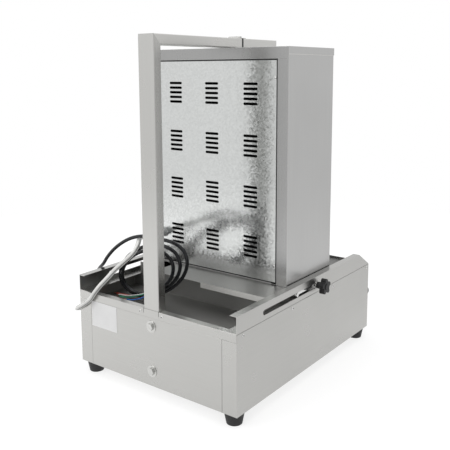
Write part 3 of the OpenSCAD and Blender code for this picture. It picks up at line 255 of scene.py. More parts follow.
def brushed_steel(name, colour, rough=0.30, grain=GRAIN_ACROSS):
    """Satin sheet with a fine brushed grain and faint cloudy handling marks."""
    made, tree, shader = material(name)
    shader.inputs["Metallic"].default_value = 1.0
    streaks = noise(tree, grain, detail=4.0, rough=0.6)
    clouds = noise(tree, CLOUDS, detail=3.0)
    toned(tree, shader, streaks, colour, GRAIN_TONE)
    roughened(tree, shader, clouds, rough, CLOUD_ROUGH)
    bumped(tree, shader, streaks, strength=0.03, distance=0.0004)
    return made


def galvanised(name, colour):
    """Zinc-coated sheet: small crystals that change in tone and gloss from grain to grain."""
    made, tree, shader = material(name)
    shader.inputs["Metallic"].default_value = 1.0
    at = node(tree, "ShaderNodeTexCoord")
    warp = node(tree, "ShaderNodeTexNoise", Scale=SPANGLE_WARP, Detail=2.0)
    bend = node(tree, "ShaderNodeMix", data_type="RGBA", blend_type="LINEAR_LIGHT")
    bend.inputs["Factor"].default_value = SPANGLE_WARP_AMOUNT
    spangle = node(tree, "ShaderNodeTexVoronoi", Scale=SPANGLE)
    tree.links.new(at.outputs["Object"], warp.inputs["Vector"])
    tree.links.new(at.outputs["Object"], bend.inputs["A"])
    tree.links.new(warp.outputs["Color"], bend.inputs["B"])
    tree.links.new(bend.outputs["Result"], spangle.inputs["Vector"])
    split = node(tree, "ShaderNodeSeparateColor")
    tree.links.new(spangle.outputs["Color"], split.inputs["Color"])
    dark, light = SPANGLE_TONES
    tint = mixed(tree, split.outputs["Red"], shade(colour, dark), shade(colour, light))
    tree.links.new(tint, shader.inputs["Base Color"])
    gloss = ranged(tree, split.outputs["Green"], *SPANGLE_ROUGH, low_in=0, high_in=1)
    tree.links.new(gloss, shader.inputs["Roughness"])
    bump = bumped(tree, shader, noise(tree, DENTS, detail=3.0), strength=0.03, distance=0.001)
    spread = node(tree, "ShaderNodeVectorMath", operation="SUBTRACT")
    spread.inputs[1].default_value = SPANGLE_MIDDLE
    tilted = node(tree, "ShaderNodeVectorMath", operation="MULTIPLY_ADD")
    tilted.inputs[1].default_value = (SPANGLE_TILT, SPANGLE_TILT, SPANGLE_TILT)
    even = node(tree, "ShaderNodeVectorMath", operation="NORMALIZE")
    surface = node(tree, "ShaderNodeNewGeometry")
    tree.links.new(spangle.outputs["Color"], spread.inputs[0])
    tree.links.new(spread.outputs["Vector"], tilted.inputs[0])
    tree.links.new(surface.outputs["Normal"], tilted.inputs[2])
    tree.links.new(tilted.outputs["Vector"], even.inputs[0])
    tree.links.new(even.outputs["Vector"], bump.inputs["Normal"])
    return made


def plain_metal(name, colour, rough, marks=0.05):
    """Metal with a faintly uneven surface, for bolts, bars and inner sheet."""
    made, tree, shader = material(name)
    shader.inputs["Metallic"].default_value = 1.0
    spots = noise(tree, SPOTS, detail=4.0)
    toned(tree, shader, spots, colour, marks)
    roughened(tree, shader, spots, rough, SPOT_ROUGH)
    bumped(tree, shader, spots, strength=0.03, distance=0.0003)
    return made


def moulded(name, colour, rough, grain=700, strength=0.12, gloss=0.5, uneven=0.12):
    """Moulded plastic or rubber with a fine surface grain."""
    made, tree, shader = material(name)
    shader.inputs["Specular IOR Level"].default_value = gloss
    pores = noise(tree, (grain, grain, grain))
    wear = noise(tree, WEAR, detail=3.0)
    toned(tree, shader, wear, colour, uneven)
    roughened(tree, shader, wear, rough, WEAR_ROUGH)
    bumped(tree, shader, pores, strength, distance=0.0002)
    return made


def fibre_board(name):
    """Mineral-fibre board with short matted fibres, painted near black as the shade seen through the vent
    slots.
    """
    made, tree, shader = material(name)
    fibres = noise(tree, FIBRES, detail=5.0, rough=0.7)
    tint = mixed(tree, ranged(tree, fibres, 0, 1), *FIBRE_SHADE_TONES)
    tree.links.new(tint, shader.inputs["Base Color"])
    shader.inputs["Roughness"].default_value = FIBRE_ROUGH
    bumped(tree, shader, fibres, strength=0.5, distance=0.001)
    return made


def glass_sleeve(name, tone=1.0):
    """Varnished glass-fibre braid, pale grey with a soft gloss; a tone below 1 paints shade into it."""
    made, tree, shader = material(name)
    braid = noise(tree, BRAID)
    stains = noise(tree, STAINS, detail=3.0)
    tint = mixed(tree, ranged(tree, stains, 0, 1), *(shade(colour, tone) for colour in SLEEVE_TONES))
    tree.links.new(tint, shader.inputs["Base Color"])
    shader.inputs["Roughness"].default_value = SLEEVE_ROUGH
    bumped(tree, shader, braid, strength=0.15, distance=0.0003)
    return made


# Colours of the base's and the cabinet's sheet, which the other steel sheets and tubes are shades of
CASE = (0.500, 0.497, 0.482)
CABINET = (0.535, 0.535, 0.530)
finish = {
    "case": brushed_steel("case_steel", CASE),
    "cabinet": brushed_steel("cabinet_steel", CABINET, rough=0.34, grain=GRAIN_UP),
    # Rear-facing flanges of the cabinet painted darker than its sides, as painted shade
    "stile": brushed_steel("stile_painted_shade_steel", shade(CABINET, 0.65), rough=0.26, grain=GRAIN_UP),
    "post": brushed_steel("post_steel", shade(CASE, 1.03), rough=0.30, grain=GRAIN_UP),
    # Side faces of the post painted lighter than its rear face, as painted light; the hinge leaves take it
    # too
    "post_side": brushed_steel("post_side_painted_light_steel", shade(CASE, 1.10), rough=0.26, grain=GRAIN_UP),
    "arm": brushed_steel("arm_steel", shade(CASE, 1.32), rough=0.30, grain=GRAIN_ALONG),
    # Well and deck painted darker than the case steel, as painted shade in the well and behind the cabinet
    "well": brushed_steel("well_painted_shade_steel", shade(CASE, 0.60), rough=0.55),
    "deck": brushed_steel("deck_painted_shade_steel", shade(CASE, 0.64), rough=0.33, grain=GRAIN_ALONG),
    # Painted highlight: a light copy of the case steel on the deck's rear lip and the lid's hems
    "lip": brushed_steel("lip_painted_highlight_steel", shade(CASE, 1.60), rough=0.55, grain=GRAIN_UP),
    # Rails' top and inner faces painted darker than their outer faces, as painted shade
    "rail_top": brushed_steel("rail_top_painted_shade_steel", shade(CASE, 0.82), rough=0.30, grain=GRAIN_ALONG),
    "rail_in": brushed_steel("rail_inner_painted_shade_steel", shade(CASE, 0.80), rough=0.34, grain=GRAIN_ALONG),
    # Drip pan's inside painted dark, as painted shade
    "pan": brushed_steel("pan_painted_shade_steel", shade(CASE, 0.26), rough=0.34),
    "galvanised": galvanised("galvanised_sheet", (0.61, 0.622, 0.615)),
    "bright": plain_metal("plated_steel", (0.74, 0.74, 0.73), rough=0.24),
    "bolt": plain_metal("bolt_steel", (0.58, 0.58, 0.565), rough=0.24),
    # Screw recesses painted near black, as painted shade
    "recess": plain_metal("recess_painted_shade_steel", (0.05, 0.05, 0.05), rough=0.60),
    "bar": plain_metal("polished_bar", (0.72, 0.72, 0.71), rough=0.16),
    "mirror": plain_metal("reflector_sheet", (0.80, 0.80, 0.79), rough=0.12),
    "inner": plain_metal("inner_steel", (0.55, 0.55, 0.55), rough=0.30),
    "element": plain_metal("element_sheath", (0.16, 0.14, 0.13), rough=0.50, marks=0.25),
    "brass": plain_metal("machined_brass", (0.72, 0.53, 0.24), rough=0.28),
    "copper": plain_metal("copper_strand", (0.72, 0.38, 0.24), rough=0.30),
    "motor": moulded("motor_paint", (0.12, 0.13, 0.15), rough=0.45, grain=300),
    "board": fibre_board("insulation_fibre_painted_shade"),
    "rubber": moulded("foot_rubber", (0.018, 0.018, 0.019), rough=0.60, grain=500, strength=0.2),
    # Black fill for the vent panel's and the lifting arm's joint gaps, as painted shadow
    "gap_shade": moulded("painted_gap_shadow", (0.012, 0.012, 0.012), rough=0.70, grain=500, strength=0.1),
    "knob": moulded("knob_plastic", (0.012, 0.012, 0.013), rough=0.42, gloss=0.35),
    "mark": moulded("mark_paint", (0.78, 0.78, 0.76), rough=0.50, grain=300, strength=0.02),
    "ink": moulded("dial_ink", (0.05, 0.05, 0.055), rough=0.55, grain=300, strength=0.02),
    "switch": moulded("switch_plastic", (0.025, 0.025, 0.026), rough=0.30, grain=400, strength=0.05),
    "rocker": moulded("rocker_plastic", (0.40, 0.015, 0.012), rough=0.25, grain=400, strength=0.04),
    "gland": moulded("gland_plastic", (0.028, 0.028, 0.029), rough=0.45),
    "grey_gland": moulded("grey_gland_plastic", (0.40, 0.41, 0.41), rough=0.45),
    "cord": moulded("cord_sheath", (0.011, 0.012, 0.014), rough=0.24, grain=350, strength=0.06, gloss=0.30),
    "sleeve": glass_sleeve("sleeve_varnish"),
    # Darker copy of the sleeve for its grooves, as painted shade
    "groove": glass_sleeve("sleeve_groove_painted_shade", tone=0.45),
    "plate": moulded("plate_foil", (0.88, 0.88, 0.88), rough=0.45, grain=60, strength=0.02, uneven=0.03),
}
finish_of = {
    "case": ["base_floor", "left_side_panel", "right_side_panel", "front_panel", "back_panel", "rear_rim",
             "top_plate", "left_rail", "right_rail"],
    "pan": ["drip_pan"],
    "cabinet": ["cabinet_left_side", "cabinet_right_side", "cabinet_lid", "cabinet_bottom"],
    "post": ["rear_post"],
    "arm": ["top_arm", "front_arm", "arm_end_cap"],
    "post_side": ["rear_hinge_leaf", "front_hinge_leaf"],
    "well": ["well_tray"],
    "deck": ["deck_plate"],
    "inner": ["element_brackets", "guard_grille", "motor_bracket", "motor_pinion"],
    "galvanised": ["vent_panel"],
    "bolt": ["post_bolts"],
    "bright": ["case_screws", "foot_bolts", "hinge_pin", "cabinet_screws", "left_clamp_screw",
               "right_clamp_screw", "top_centre"],
    "bar": ["spit_shaft", "spit_disc", "drive_spindle", "runner_bars"],
    "mirror": ["reflector"],
    "element": ["heating_elements"],
    "brass": ["drive_gear", "spindle_bushes"],
    "motor": ["gear_motor"],
    "board": ["insulation_board"],
    "rubber": ["rubber_feet"],
    "knob": ["left_clamp_knob", "right_clamp_knob", "left_heat_knob", "right_heat_knob"],
    "switch": ["motor_switch", "heat_regulators"],
    "rocker": ["motor_rocker"],
    "gland": ["cable_glands"],
    "grey_gland": ["cabinet_gland"],
    "plate": ["rating_plate"],
}
for key, names in finish_of.items():
    for name in names:
        nodes[name].data.materials.clear()
        nodes[name].data.materials.append(finish[key])

# Faces with a finish of their own, told by how closely their normal follows a way: lighter and darker copies
# of their part's steel, as painted light and shade
FACING = 0.9


def finish_faces(name, key, *ways):
    """One more finish, on the faces that look one of the given ways."""
    mesh = nodes[name].data
    mesh.materials.append(finish[key])
    for face in mesh.polygons:
        if any(face.normal.dot(way) > FACING for way in ways):
            face.material_index = len(mesh.materials) - 1


for name in ("cabinet_left_side", "cabinet_right_side", "cabinet_lid"):
    finish_faces(name, "stile", BACK)
finish_faces("rear_post", "post_side", LEFT, RIGHT)
finish_faces("deck_plate", "lip", BACK)
# The pan's front and back walls keep the case's colour; its inside stays in painted shade
finish_faces("drip_pan", "case", FRONT, BACK)
for name in ("left_rail", "right_rail"):
    finish_faces(name, "rail_top", UP)
finish_faces("left_rail", "rail_in", RIGHT)
finish_faces("right_rail", "rail_in", LEFT)


# Geometry helpers
def place(name, mesh, body):
    """A new object of that mesh on its body."""
    made = bpy.data.objects.new(name, mesh)
    collection.objects.link(made)
    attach(made, body)
    return made


def mesh_of(name, made, *looks):
    """A mesh from an edit mesh, with its finishes."""
    mesh = bpy.data.meshes.new(name)
    made.to_mesh(mesh)
    made.free()
    for look in looks:
        mesh.materials.append(look)
    return mesh


def add_box(made, low, high, turn=Matrix()):
    """A box between two corners, in metres, in an edit mesh."""
    size = Vector(high) - Vector(low)
    middle = (Vector(high) + Vector(low)) / 2
    at = turn @ Matrix.Translation(middle) @ Matrix.Diagonal((*size, 1))
    bmesh.ops.create_cube(made, size=1, matrix=at)


def boxes(name, corners, look, body):
    """A piece of plain boxes, given as pairs of corners."""
    made = bmesh.new()
    for low, high in corners:
        add_box(made, low, high)
    return place(name, mesh_of(name, made, look), body)


def curve_through(name, points, diameter, look):
    """A round cord on one smooth spline through points in millimetres."""
    data = bpy.data.curves.new(name, "CURVE")
    data.dimensions = "3D"
    data.bevel_depth = diameter / 2 * MM
    data.bevel_resolution = CORD_SIDE_STEPS
    data.resolution_u = CORD_CURVE_STEPS
    data.use_fill_caps = True
    spline = data.splines.new("BEZIER")
    spline.bezier_points.add(len(points) - 1)
    last = len(points) - 1
    for i, p in enumerate(points):
        pull = (Vector(points[min(last, i + 1)]) - Vector(points[max(0, i - 1)])) / CORD_HANDLE_PART
        knot = spline.bezier_points[i]
        knot.handle_left_type = "FREE"
        knot.handle_right_type = "FREE"
        knot.co = Vector(p) * MM
        knot.handle_left = (Vector(p) - pull) * MM
        knot.handle_right = (Vector(p) + pull) * MM
    made = bpy.data.objects.new(name, data)
    collection.objects.link(made)
    data.materials.append(look)
    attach(made, "base")
    return made


def smooth(points, steps):
    """Points on the Catmull-Rom line through the given ones."""
    pts = [Vector(p) for p in points]
    made = []
    for i in range(len(pts) - 1):
        a, b, c, d = pts[max(0, i - 1)], pts[i], pts[i + 1], pts[min(len(pts) - 1, i + 2)]
        for k in range(steps):
            t = k / steps
            made.append(0.5 * (2 * b + (c - a) * t + (2 * a - 5 * b + 4 * c - d) * t ** 2
                               + (3 * b - a - 3 * c + d) * t ** 3))
    return made + [pts[-1]]


# Supply cord and its coil, one cord from the gland to its bare conductors
def coil_point(degrees):
    """A point of the coil's spiral."""
    turns = (degrees - COIL_START) / 360
    a = math.radians(degrees)
    u = (COIL_LONG - COIL_LONG_STEP * turns) * math.cos(a)
    w = (COIL_SHORT - COIL_SHORT_STEP * turns) * math.sin(a)
    s = COIL_MID - u * math.sin(COIL_TURN) + w * math.cos(COIL_TURN)
    n = COIL_LAYER_STEP * turns
    return COIL_AT + Vector((u * math.cos(COIL_TURN) + w * math.sin(COIL_TURN),
                             s * math.sin(COIL_LEAN) + n * math.cos(COIL_LEAN),
                             s * math.cos(COIL_LEAN) - n * math.sin(COIL_LEAN)))


coil_in = (coil_point(COIL_START + COIL_TANGENT) - coil_point(COIL_START)).normalized()
coil_out = (coil_point(COIL_END) - coil_point(COIL_END - COIL_TANGENT)).normalized()
coil_turns = [coil_point(a) for a in range(COIL_START, COIL_END, COIL_STEP)] + [coil_point(COIL_END)]
coil_first = coil_turns[0] - CORD_D * coil_in
coil_last = coil_turns[-1] + CORD_D * coil_out
cord_points = [CORD_START, *CORD_ROUTE, coil_first - CORD_D * coil_in, coil_first, *coil_turns, coil_last]
cord = curve_through("supply_cord_sheath", cord_points, CORD_D, finish["cord"])
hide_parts("supply_cord", "cord_coil")

tail_side = coil_out.cross(UP).normalized()
tail_up = coil_out.cross(tail_side)
for i, (colour, ends) in enumerate(TAIL_ENDS.items()):
    turn = 2 * math.pi * i / len(TAIL_ENDS)
    start = coil_last + TAIL_RING * (math.cos(turn) * tail_side + math.sin(turn) * tail_up)
    points = [start, start + TAIL_RUN * coil_out, *[Vector(p) for p in ends]]
    along = (points[-1] - points[-2]).normalized()
    points[-1] = points[-1] - STRAND_L * along
    strand_points = [points[-1] - STRAND_SEAT * along, points[-1] + STRAND_L * along]
    sheath = moulded("conductor_" + colour, TAIL_COLOURS[colour], rough=0.35, grain=300, strength=0.05)
    tail = curve_through("conductor_" + colour, points, TAIL_D, sheath)
    strand = curve_through("strand_" + colour, strand_points, STRAND_D, finish["copper"])
    if i == 0:
        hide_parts("conductor_tails")


# Heater sleeve: a soft sleeve drawn over three wires
def groove_at(k):
    """Share of the groove's depth at a corner of the sleeve's section."""
    turn = 2 * math.pi * k / SLEEVE_SIDES
    return (0.5 - 0.5 * math.cos(SLEEVE_LOBES * turn)) ** SLEEVE_GROOVE_POWER


def lobed_tube(name, points, radius, *looks):
    """A closed tube of a lobed section along points in millimetres, with a second finish in its grooves as
    painted shade.
    """
    made = bmesh.new()
    last = len(points) - 1
    rings = []
    normal = UP
    for i, p in enumerate(points):
        along = (points[min(last, i + 1)] - points[max(0, i - 1)]).normalized()
        normal = (normal - normal.dot(along) * along).normalized()
        across = along.cross(normal)
        ring = []
        for k in range(SLEEVE_SIDES):
            a = 2 * math.pi * k / SLEEVE_SIDES
            r = radius * (1 - SLEEVE_GROOVE_DEPTH * groove_at(k))
            ring.append(made.verts.new((p + r * (math.cos(a) * normal + math.sin(a) * across)) * MM))
        rings.append(ring)
    for a, b in zip(rings, rings[1:]):
        for k in range(SLEEVE_SIDES):
            n = (k + 1) % SLEEVE_SIDES
            face = made.faces.new((a[k], a[n], b[n], b[k]))
            face.material_index = int(groove_at(k + 0.5) > SLEEVE_GROOVE_DARK)
    made.faces.new(rings[0])
    made.faces.new(rings[-1])
    bmesh.ops.recalc_face_normals(made, faces=made.faces)
    mesh = mesh_of(name, made, *looks)
    mesh.shade_smooth()
    return mesh


sleeve_run = Vector((0, SLEEVE_D, 0))
sleeve_bends = [SLEEVE_START + sleeve_run, *[Vector(p) for p in SLEEVE_ROUTE], SLEEVE_FINISH + sleeve_run]
sleeve_line = [SLEEVE_START, *smooth(sleeve_bends, SLEEVE_STEPS), SLEEVE_FINISH]
sleeve_mesh = lobed_tube("glass_sleeve", sleeve_line, SLEEVE_D / 2, finish["sleeve"], finish["groove"])
sleeve = bpy.data.objects.new("glass_sleeve", sleeve_mesh)
collection.objects.link(sleeve)
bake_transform(sleeve)
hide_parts("heater_sleeve")

# Rounded pieces: the solids again, welded, with their edges eased
WELD_GAP = 0.01 * MM
SHARP_ANGLE = math.radians(50)
SMOOTH_ANGLE = math.radians(35)
FLAT_ANGLE = math.radians(0.5)
ROUND_PROFILE = 0.5
ROUND_STEPS, FINE_STEPS = 2, 3
FACE_WEIGHT = 100
SHEET_EDGE = 0.5 * MM
SHEET_MIN_EDGE = 15 * MM
TUBE_ROUND = 2.5 * MM
TUBE_MIN_EDGE = 100 * MM
TUBE_TOLERANCE = 0.1 * MM
STAR_ROUND = 1.5 * MM
SMALL_ROUND = 0.8 * MM
BOLT_ROUND = 0.5 * MM


def eased(name, width, steps=ROUND_STEPS, chosen=None):
    """A copy of a node's solid with rounded edges, in its place."""
    source = nodes[name]
    made = bmesh.new()
    made.from_mesh(source.data)
    bmesh.ops.remove_doubles(made, verts=made.verts, dist=WELD_GAP)
    bmesh.ops.dissolve_limit(made, angle_limit=FLAT_ANGLE, verts=made.verts, edges=made.edges,
                             delimit={"MATERIAL"})
    sharp = [e for e in made.edges if len(e.link_faces) == 2 and e.calc_face_angle() > SHARP_ANGLE]
    if chosen:
        sharp = [e for e in sharp if chosen(e)]
    bmesh.ops.bevel(made, geom=sharp, offset=width, segments=steps, profile=ROUND_PROFILE, affect="EDGES",
                    clamp_overlap=True)
    mesh = mesh_of(name + "_eased", made, *source.data.materials)
    mesh.shade_smooth()
    mesh.set_sharp_from_angle(angle=SMOOTH_ANGLE)
    piece = place(name + "_eased", mesh, source["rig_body"])
    even = piece.modifiers.new("even", "WEIGHTED_NORMAL")
    even.weight = FACE_WEIGHT
    even.keep_sharp = True
    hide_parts(name)


def sheet_edge(edge):
    """A test for the edges of a sheet, without those round its small holes."""
    return edge.calc_length() > SHEET_MIN_EDGE


def long_outer(name, axis):
    """A test for the long edges on the corners of a tube's outline."""
    low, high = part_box(name)
    others = [k for k in range(3) if k != axis]

    def at_corner(vertex):
        gaps = [min(abs(vertex.co[k] - low[k]), abs(vertex.co[k] - high[k])) for k in others]
        return max(gaps) < TUBE_TOLERANCE

    def test(edge):
        a, b = edge.verts
        return abs(a.co[axis] - b.co[axis]) >= TUBE_MIN_EDGE and at_corner(a) and at_corner(b)

    return test


for name in ("left_side_panel", "right_side_panel", "back_panel", "rear_rim", "front_panel",
             "left_rail", "right_rail", "cabinet_left_side", "cabinet_right_side", "cabinet_lid",
             "deck_plate", "well_tray", "drip_pan"):
    eased(name, SHEET_EDGE, chosen=sheet_edge)
for name, axis in (("rear_post", 2), ("top_arm", 1), ("front_arm", 1)):
    eased(name, TUBE_ROUND, FINE_STEPS, long_outer(name, axis))
for name in ("left_clamp_knob", "right_clamp_knob"):
    eased(name, STAR_ROUND, FINE_STEPS)
for name in ("left_heat_knob", "right_heat_knob", "motor_rocker", "motor_switch", "rubber_feet"):
    eased(name, SMALL_ROUND)
eased("post_bolts", BOLT_ROUND)

# Dark strip in the gap around the vent panel, as painted shadow
SHADOW_STRIP_T = 0.8 * MM
SHADOW_STRIP_BEAD = 2.5 * MM
SHADOW_STRIP_GAP = 3.8 * MM
SHADOW_STRIP_LIP = 3.6 * MM
LID_SKIRT = 29 * MM
panel_low, panel_high = (Vector(c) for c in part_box("vent_panel"))
shelf_y = panel_low.y
shadow_strip_out = panel_high.x + SHADOW_STRIP_GAP
shadow_strip_low = panel_low.z - SHADOW_STRIP_LIP
lip_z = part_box("cabinet_lid")[1][2] - LID_SKIRT
boxes("panel_shadow_strip", [
    ((-shadow_strip_out, shelf_y, shadow_strip_low), (panel_low.x, shelf_y + SHADOW_STRIP_BEAD, lip_z)),
    ((panel_high.x, shelf_y, shadow_strip_low), (shadow_strip_out, shelf_y + SHADOW_STRIP_BEAD, lip_z)),
    ((-shadow_strip_out, shelf_y - SHADOW_STRIP_T, shadow_strip_low), (shadow_strip_out, shelf_y, panel_low.z)),
    ((-shadow_strip_out, panel_high.y, lip_z - SHADOW_STRIP_LIP), (shadow_strip_out, panel_high.y + 2 * SHADOW_STRIP_T, lip_z + SHADOW_STRIP_LIP)),
], finish["gap_shade"], "cabinet")

# Folds in the cabinet's sheet: the floor's rear edge, and the hem under the lid's side skirts in light
# steel, as a painted highlight
bottom_low, bottom_high = (Vector(c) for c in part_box("cabinet_bottom"))
boxes("bottom_fold", [((-shadow_strip_out, bottom_high.y, bottom_low.z), (shadow_strip_out, shelf_y, shadow_strip_low))],
      finish["cabinet"], "cabinet")

LID_SIDE_SKIRT = 18 * MM
HEM_H = 1.2 * MM
lid_low, lid_high = (Vector(c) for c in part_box("cabinet_lid"))
side_low, side_high = (Vector(c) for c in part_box("cabinet_left_side"))
hem_z = lid_high.z - LID_SIDE_SKIRT
boxes("lid_hem", [
    ((lid_low.x, side_low.y, hem_z - HEM_H), (side_low.x, side_high.y, hem_z)),
    ((-side_low.x, side_low.y, hem_z - HEM_H), (lid_high.x, side_high.y, hem_z)),
], finish["lip"], "cabinet")

# Black slip-on cap at the lifting arm's hinge end, open on top for the hinge leaf, as painted shadow in the
# arm's joint line
PLUG_T = 3.2 * MM
COLLAR_T = 0.4 * MM
COLLAR_L = 2.2 * MM
arm_low, arm_high = (Vector(c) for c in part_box("front_arm"))
cap_low = arm_low.x - COLLAR_T
cap_high = arm_high.x + COLLAR_T
cap_bottom = arm_low.z - COLLAR_T
end_y = arm_high.y
collar_y = end_y - COLLAR_L
boxes("arm_shadow_cap", [
    ((cap_low, end_y, cap_bottom), (cap_high, end_y + PLUG_T, arm_high.z)),
    ((cap_low, collar_y, cap_bottom), (arm_low.x, end_y, arm_high.z)),
    ((arm_high.x, collar_y, cap_bottom), (cap_high, end_y, arm_high.z)),
    ((arm_low.x, collar_y, cap_bottom), (arm_high.x, end_y, arm_low.z)),
], finish["gap_shade"], "front_arm")

# Screws: pan heads with a cross recess in place of the plain ones, the recess painted near black as painted
# shade, in millimetres
HEAD_R = 3.6
HEAD_H = 2.2
HEAD_PROFILE = [(1.7, 2.1), (2.7, 1.75), (3.3, 1.2), (HEAD_R, 0.5), (HEAD_R, 0)]
HEAD_TOLERANCE = 0.1
SCREW_SIDES = 24
RECESS_W = 1.1
RECESS_L = 4.4
RECESS_DEPTH = 1.5
RECESS_OVER = 1


def screw_head():
    """A pan head with a cross recess, its seat at the origin and its top along +Z, in metres."""
    head = bmesh.new()
    rings = []
    turns = [2 * math.pi * k / SCREW_SIDES for k in range(SCREW_SIDES)]
    for r, z in HEAD_PROFILE:
        rings.append([head.verts.new((r * math.cos(a) * MM, r * math.sin(a) * MM, z * MM)) for a in turns])
    for a, b in zip(rings, rings[1:]):
        for k in range(SCREW_SIDES):
            n = (k + 1) % SCREW_SIDES
            head.faces.new((a[k], b[k], b[n], a[n]))
    head.faces.new(rings[0])
    head.faces.new(rings[-1])
    bmesh.ops.recalc_face_normals(head, faces=head.faces)
    cross = bmesh.new()
    for w, d in ((RECESS_W, RECESS_L), (RECESS_L, RECESS_W)):
        low = Vector((-w / 2, -d / 2, HEAD_H - RECESS_DEPTH))
        high = Vector((w / 2, d / 2, HEAD_H + RECESS_OVER))
        add_box(cross, low * MM, high * MM)
    for face in cross.faces:
        face.material_index = 1
    looks = finish["bright"], finish["recess"]
    body = bpy.data.objects.new("screw_head", mesh_of("screw_head", head, *looks))
    cutter = bpy.data.objects.new("screw_cross", mesh_of("screw_cross", cross, *looks))
    collection.objects.link(body)
    collection.objects.link(cutter)
    cut = body.modifiers.new("cross", "BOOLEAN")
    cut.object = cutter
    cut.operation = "DIFFERENCE"
    cut.use_self = True
    made = bpy.data.meshes.new_from_object(body.evaluated_get(bpy.context.evaluated_depsgraph_get()))
    bpy.data.objects.remove(body)
    bpy.data.objects.remove(cutter)
    return made


def islands(made):
    """The loose pieces of an edit mesh, as lists of vertices."""
    seen = set()
    found = []
    for first in made.verts:
        if first in seen:
            continue
        seen.add(first)
        group = [first]
        for v in group:
            others = [e.other_vert(v) for e in v.link_edges]
            fresh = [other for other in others if other not in seen]
            seen.update(fresh)
            group.extend(fresh)
        found.append(group)
    return found


def crossed_screws(name, head):
    """A node's screws again, with a cross recess in each pan head."""
    source = nodes[name]
    made = bmesh.new()
    made.from_mesh(source.data)
    bmesh.ops.remove_doubles(made, verts=made.verts, dist=WELD_GAP)
    seats = []
    for group in islands(made):
        low = [min(v.co[k] for v in group) for k in range(3)]
        high = [max(v.co[k] for v in group) for k in range(3)]
        wide = [abs(high[k] - low[k] - 2 * HEAD_R * MM) < HEAD_TOLERANCE * MM for k in range(3)]
        if wide.count(True) != 2:
            continue
        axis = wide.index(False)
        middle = Vector([(a + b) / 2 for a, b in zip(low, high)])
        out = Vector((0, 0, 0))
        out[axis] = math.copysign(1, middle[axis])
        top = max(v.co.dot(out) for v in group)
        seat = middle + (top - HEAD_H * MM - middle.dot(out)) * out
        seats.append(Matrix.Translation(seat) @ out.to_track_quat("Z", "Y").to_matrix().to_4x4())
        bmesh.ops.delete(made, geom=group, context="VERTS")
    for seat in seats:
        copy = head.copy()
        copy.transform(seat)
        made.from_mesh(copy)
        bpy.data.meshes.remove(copy)
    mesh = mesh_of(name + "_crossed", made, finish["bright"], finish["recess"])
    mesh.shade_smooth()
    mesh.set_sharp_from_angle(angle=SMOOTH_ANGLE)
    piece = place(name + "_crossed", mesh, source["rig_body"])
    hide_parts(name)


pan_head = screw_head()
crossed_screws("case_screws", pan_head)
crossed_screws("cabinet_screws", pan_head)

# Marks: a pointer line and a scale on each heat knob, and the scale's index on the panel, in millimetres
MARK_T = 0.2
TICK_COUNT = 11
TICK_SWEEP = math.radians(270)
TICK_W, TICK_LOW, TICK_HIGH = 0.9, 17.2, 20.6
SKIRT_FACE = 5
LINE_W, LINE_LOW, LINE_HIGH = 1.2, 4, 18
INDEX_W, INDEX_LOW, INDEX_HIGH = 1.4, 24, 29
case_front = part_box("front_panel")[0][1]


def bar_mark(made, middle, face_y, width, low, high, turn=0.0):
    """A painted bar that points away from a middle, on a face towards the front."""
    at = Matrix.Translation((middle.x, face_y, middle.z)) @ Matrix.Rotation(turn, 4, "Y")
    add_box(made, (-width / 2 * MM, -MARK_T * MM, low * MM), (width / 2 * MM, 0, high * MM), at)


index_marks = bmesh.new()
for side in ("left", "right"):
    knob_low, knob_high = (Vector(c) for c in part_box(side + "_heat_knob"))
    middle = (knob_low + knob_high) / 2
    scale = bmesh.new()
    bar_mark(scale, middle, knob_low.y, LINE_W, LINE_LOW, LINE_HIGH)
    for i in range(TICK_COUNT):
        turn = -TICK_SWEEP * i / (TICK_COUNT - 1)
        bar_mark(scale, middle, case_front - SKIRT_FACE * MM, TICK_W, TICK_LOW, TICK_HIGH, turn)
    place(side + "_knob_scale", mesh_of(side + "_knob_scale", scale, finish["mark"]), side + "_heat_knob")
    bar_mark(index_marks, middle, case_front, INDEX_W, INDEX_LOW, INDEX_HIGH)
place("index_marks", mesh_of("index_marks", index_marks, finish["ink"]), "base")

# Stage: floor, world and lamps, in metres and watts
FLOOR_R = 2.2
FLOOR_SIDES = 96
FLOOR_WHITE = 0.32
FLOOR_GLOW = 0.74
FLOOR_MIRRORED = (0.72, 1.24)
FLOOR_FADE = 1.0
SKY_SEEN = 1.0
SKY_LIGHT = (0.74, 1.0)
SKY_FADE = (-0.8, 0.25)
LAMPS_AIM = Vector((0, 0, 0.4))
LAMPS = {
    "key": {"at": Vector((0.9, 2.4, 2.2)), "size": 1.6, "watts": 18},
    "top": {"at": Vector((-0.3, 0.2, 2.6)), "size": 1.8, "watts": 10},
}


def combined(tree, operation, a, b):
    """Two values through a math node."""
    made = node(tree, "ShaderNodeMath", operation=operation)
    for socket, value in zip(made.inputs, (a, b)):
        if isinstance(value, float):
            socket.default_value = value
        else:
            tree.links.new(value, socket)
    return made.outputs[0]


def floor_material():
    """White floor that keeps the object's shadow, and is darker towards -X in what the steel mirrors."""
    made, tree, shader = material("studio_floor")
    shader.inputs["Base Color"].default_value = (FLOOR_WHITE, FLOOR_WHITE, FLOOR_WHITE, 1)
    shader.inputs["Roughness"].default_value = 1.0
    shader.inputs["Specular IOR Level"].default_value = 0.0
    shader.inputs["Emission Color"].default_value = (1, 1, 1, 1)
    at = node(tree, "ShaderNodeTexCoord")
    split = node(tree, "ShaderNodeSeparateXYZ")
    tree.links.new(at.outputs["Object"], split.inputs["Vector"])
    path = node(tree, "ShaderNodeLightPath")
    seen = combined(tree, "MAXIMUM", path.outputs["Is Camera Ray"], path.outputs["Is Transmission Ray"])
    slope = ranged(tree, split.outputs["X"], *FLOOR_MIRRORED, -FLOOR_FADE, FLOOR_FADE)
    mirrored = combined(tree, "MULTIPLY", path.outputs["Is Glossy Ray"], slope)
    level = combined(tree, "MAXIMUM", seen, mirrored)
    tree.links.new(combined(tree, "MULTIPLY", level, FLOOR_GLOW), shader.inputs["Emission Strength"])
    return made


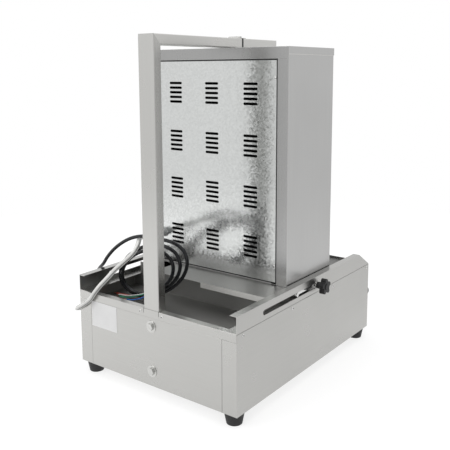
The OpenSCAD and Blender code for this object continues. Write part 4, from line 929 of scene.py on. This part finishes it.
def studio_world():
    """White world to the camera, and a light that is weaker from the -X side."""
    made = bpy.data.worlds.new("studio")
    made.use_nodes = True
    tree = made.node_tree
    sky = tree.nodes["Background"]
    at = node(tree, "ShaderNodeTexCoord")
    split = node(tree, "ShaderNodeSeparateXYZ")
    tree.links.new(at.outputs["Generated"], split.inputs["Vector"])
    path = node(tree, "ShaderNodeLightPath")
    level = node(tree, "ShaderNodeMix")
    tree.links.new(path.outputs["Is Camera Ray"], level.inputs["Factor"])
    tree.links.new(ranged(tree, split.outputs["X"], *SKY_LIGHT, *SKY_FADE), level.inputs["A"])
    level.inputs["B"].default_value = SKY_SEEN
    tree.links.new(level.outputs["Result"], sky.inputs["Strength"])
    sky.inputs["Color"].default_value = (1, 1, 1, 1)
    return made


def area_lamp(name, at, size, watts):
    """A round soft lamp, aimed at the object."""
    data = bpy.data.lights.new(name, "AREA")
    data.shape = "DISK"
    data.size = size
    data.energy = watts
    made = bpy.data.objects.new(name, data)
    collection.objects.link(made)
    made.location = at
    made.rotation_euler = (LAMPS_AIM - at).to_track_quat("-Z", "Y").to_euler()


def photo_camera():
    """The camera that the photograph's perspective was solved for."""
    data = bpy.data.cameras.new("camera")
    data.sensor_width = SENSOR_MM
    data.lens = FOCAL_PX / IMAGE_PX * SENSOR_MM
    data.shift_y = (CENTRE_Y_PX - IMAGE_PX / 2) / IMAGE_PX
    made = bpy.data.objects.new("camera", data)
    collection.objects.link(made)
    azimuth, pitch = math.radians(CAMERA_AZIMUTH), math.radians(CAMERA_PITCH)
    level = Vector((-math.sin(azimuth), math.cos(azimuth), 0))
    ahead = level * math.cos(pitch) - UP * math.sin(pitch)
    aimed = ahead.to_track_quat("-Z", "Y").to_matrix().to_4x4()
    rolled = Matrix.Rotation(math.radians(CAMERA_ROLL), 4, "Z")
    made.matrix_world = Matrix.Translation(CAMERA_AT) @ aimed @ rolled
    return made


bpy.ops.mesh.primitive_circle_add(vertices=FLOOR_SIDES, radius=FLOOR_R, fill_type="NGON")
floor = bpy.context.object
floor.name = "studio_floor"
floor.data.materials.append(floor_material())

scene = bpy.context.scene
scene.world = studio_world()
for name, lamp in LAMPS.items():
    area_lamp(name, **lamp)
scene.camera = photo_camera()
scene.view_settings.view_transform = "Standard"
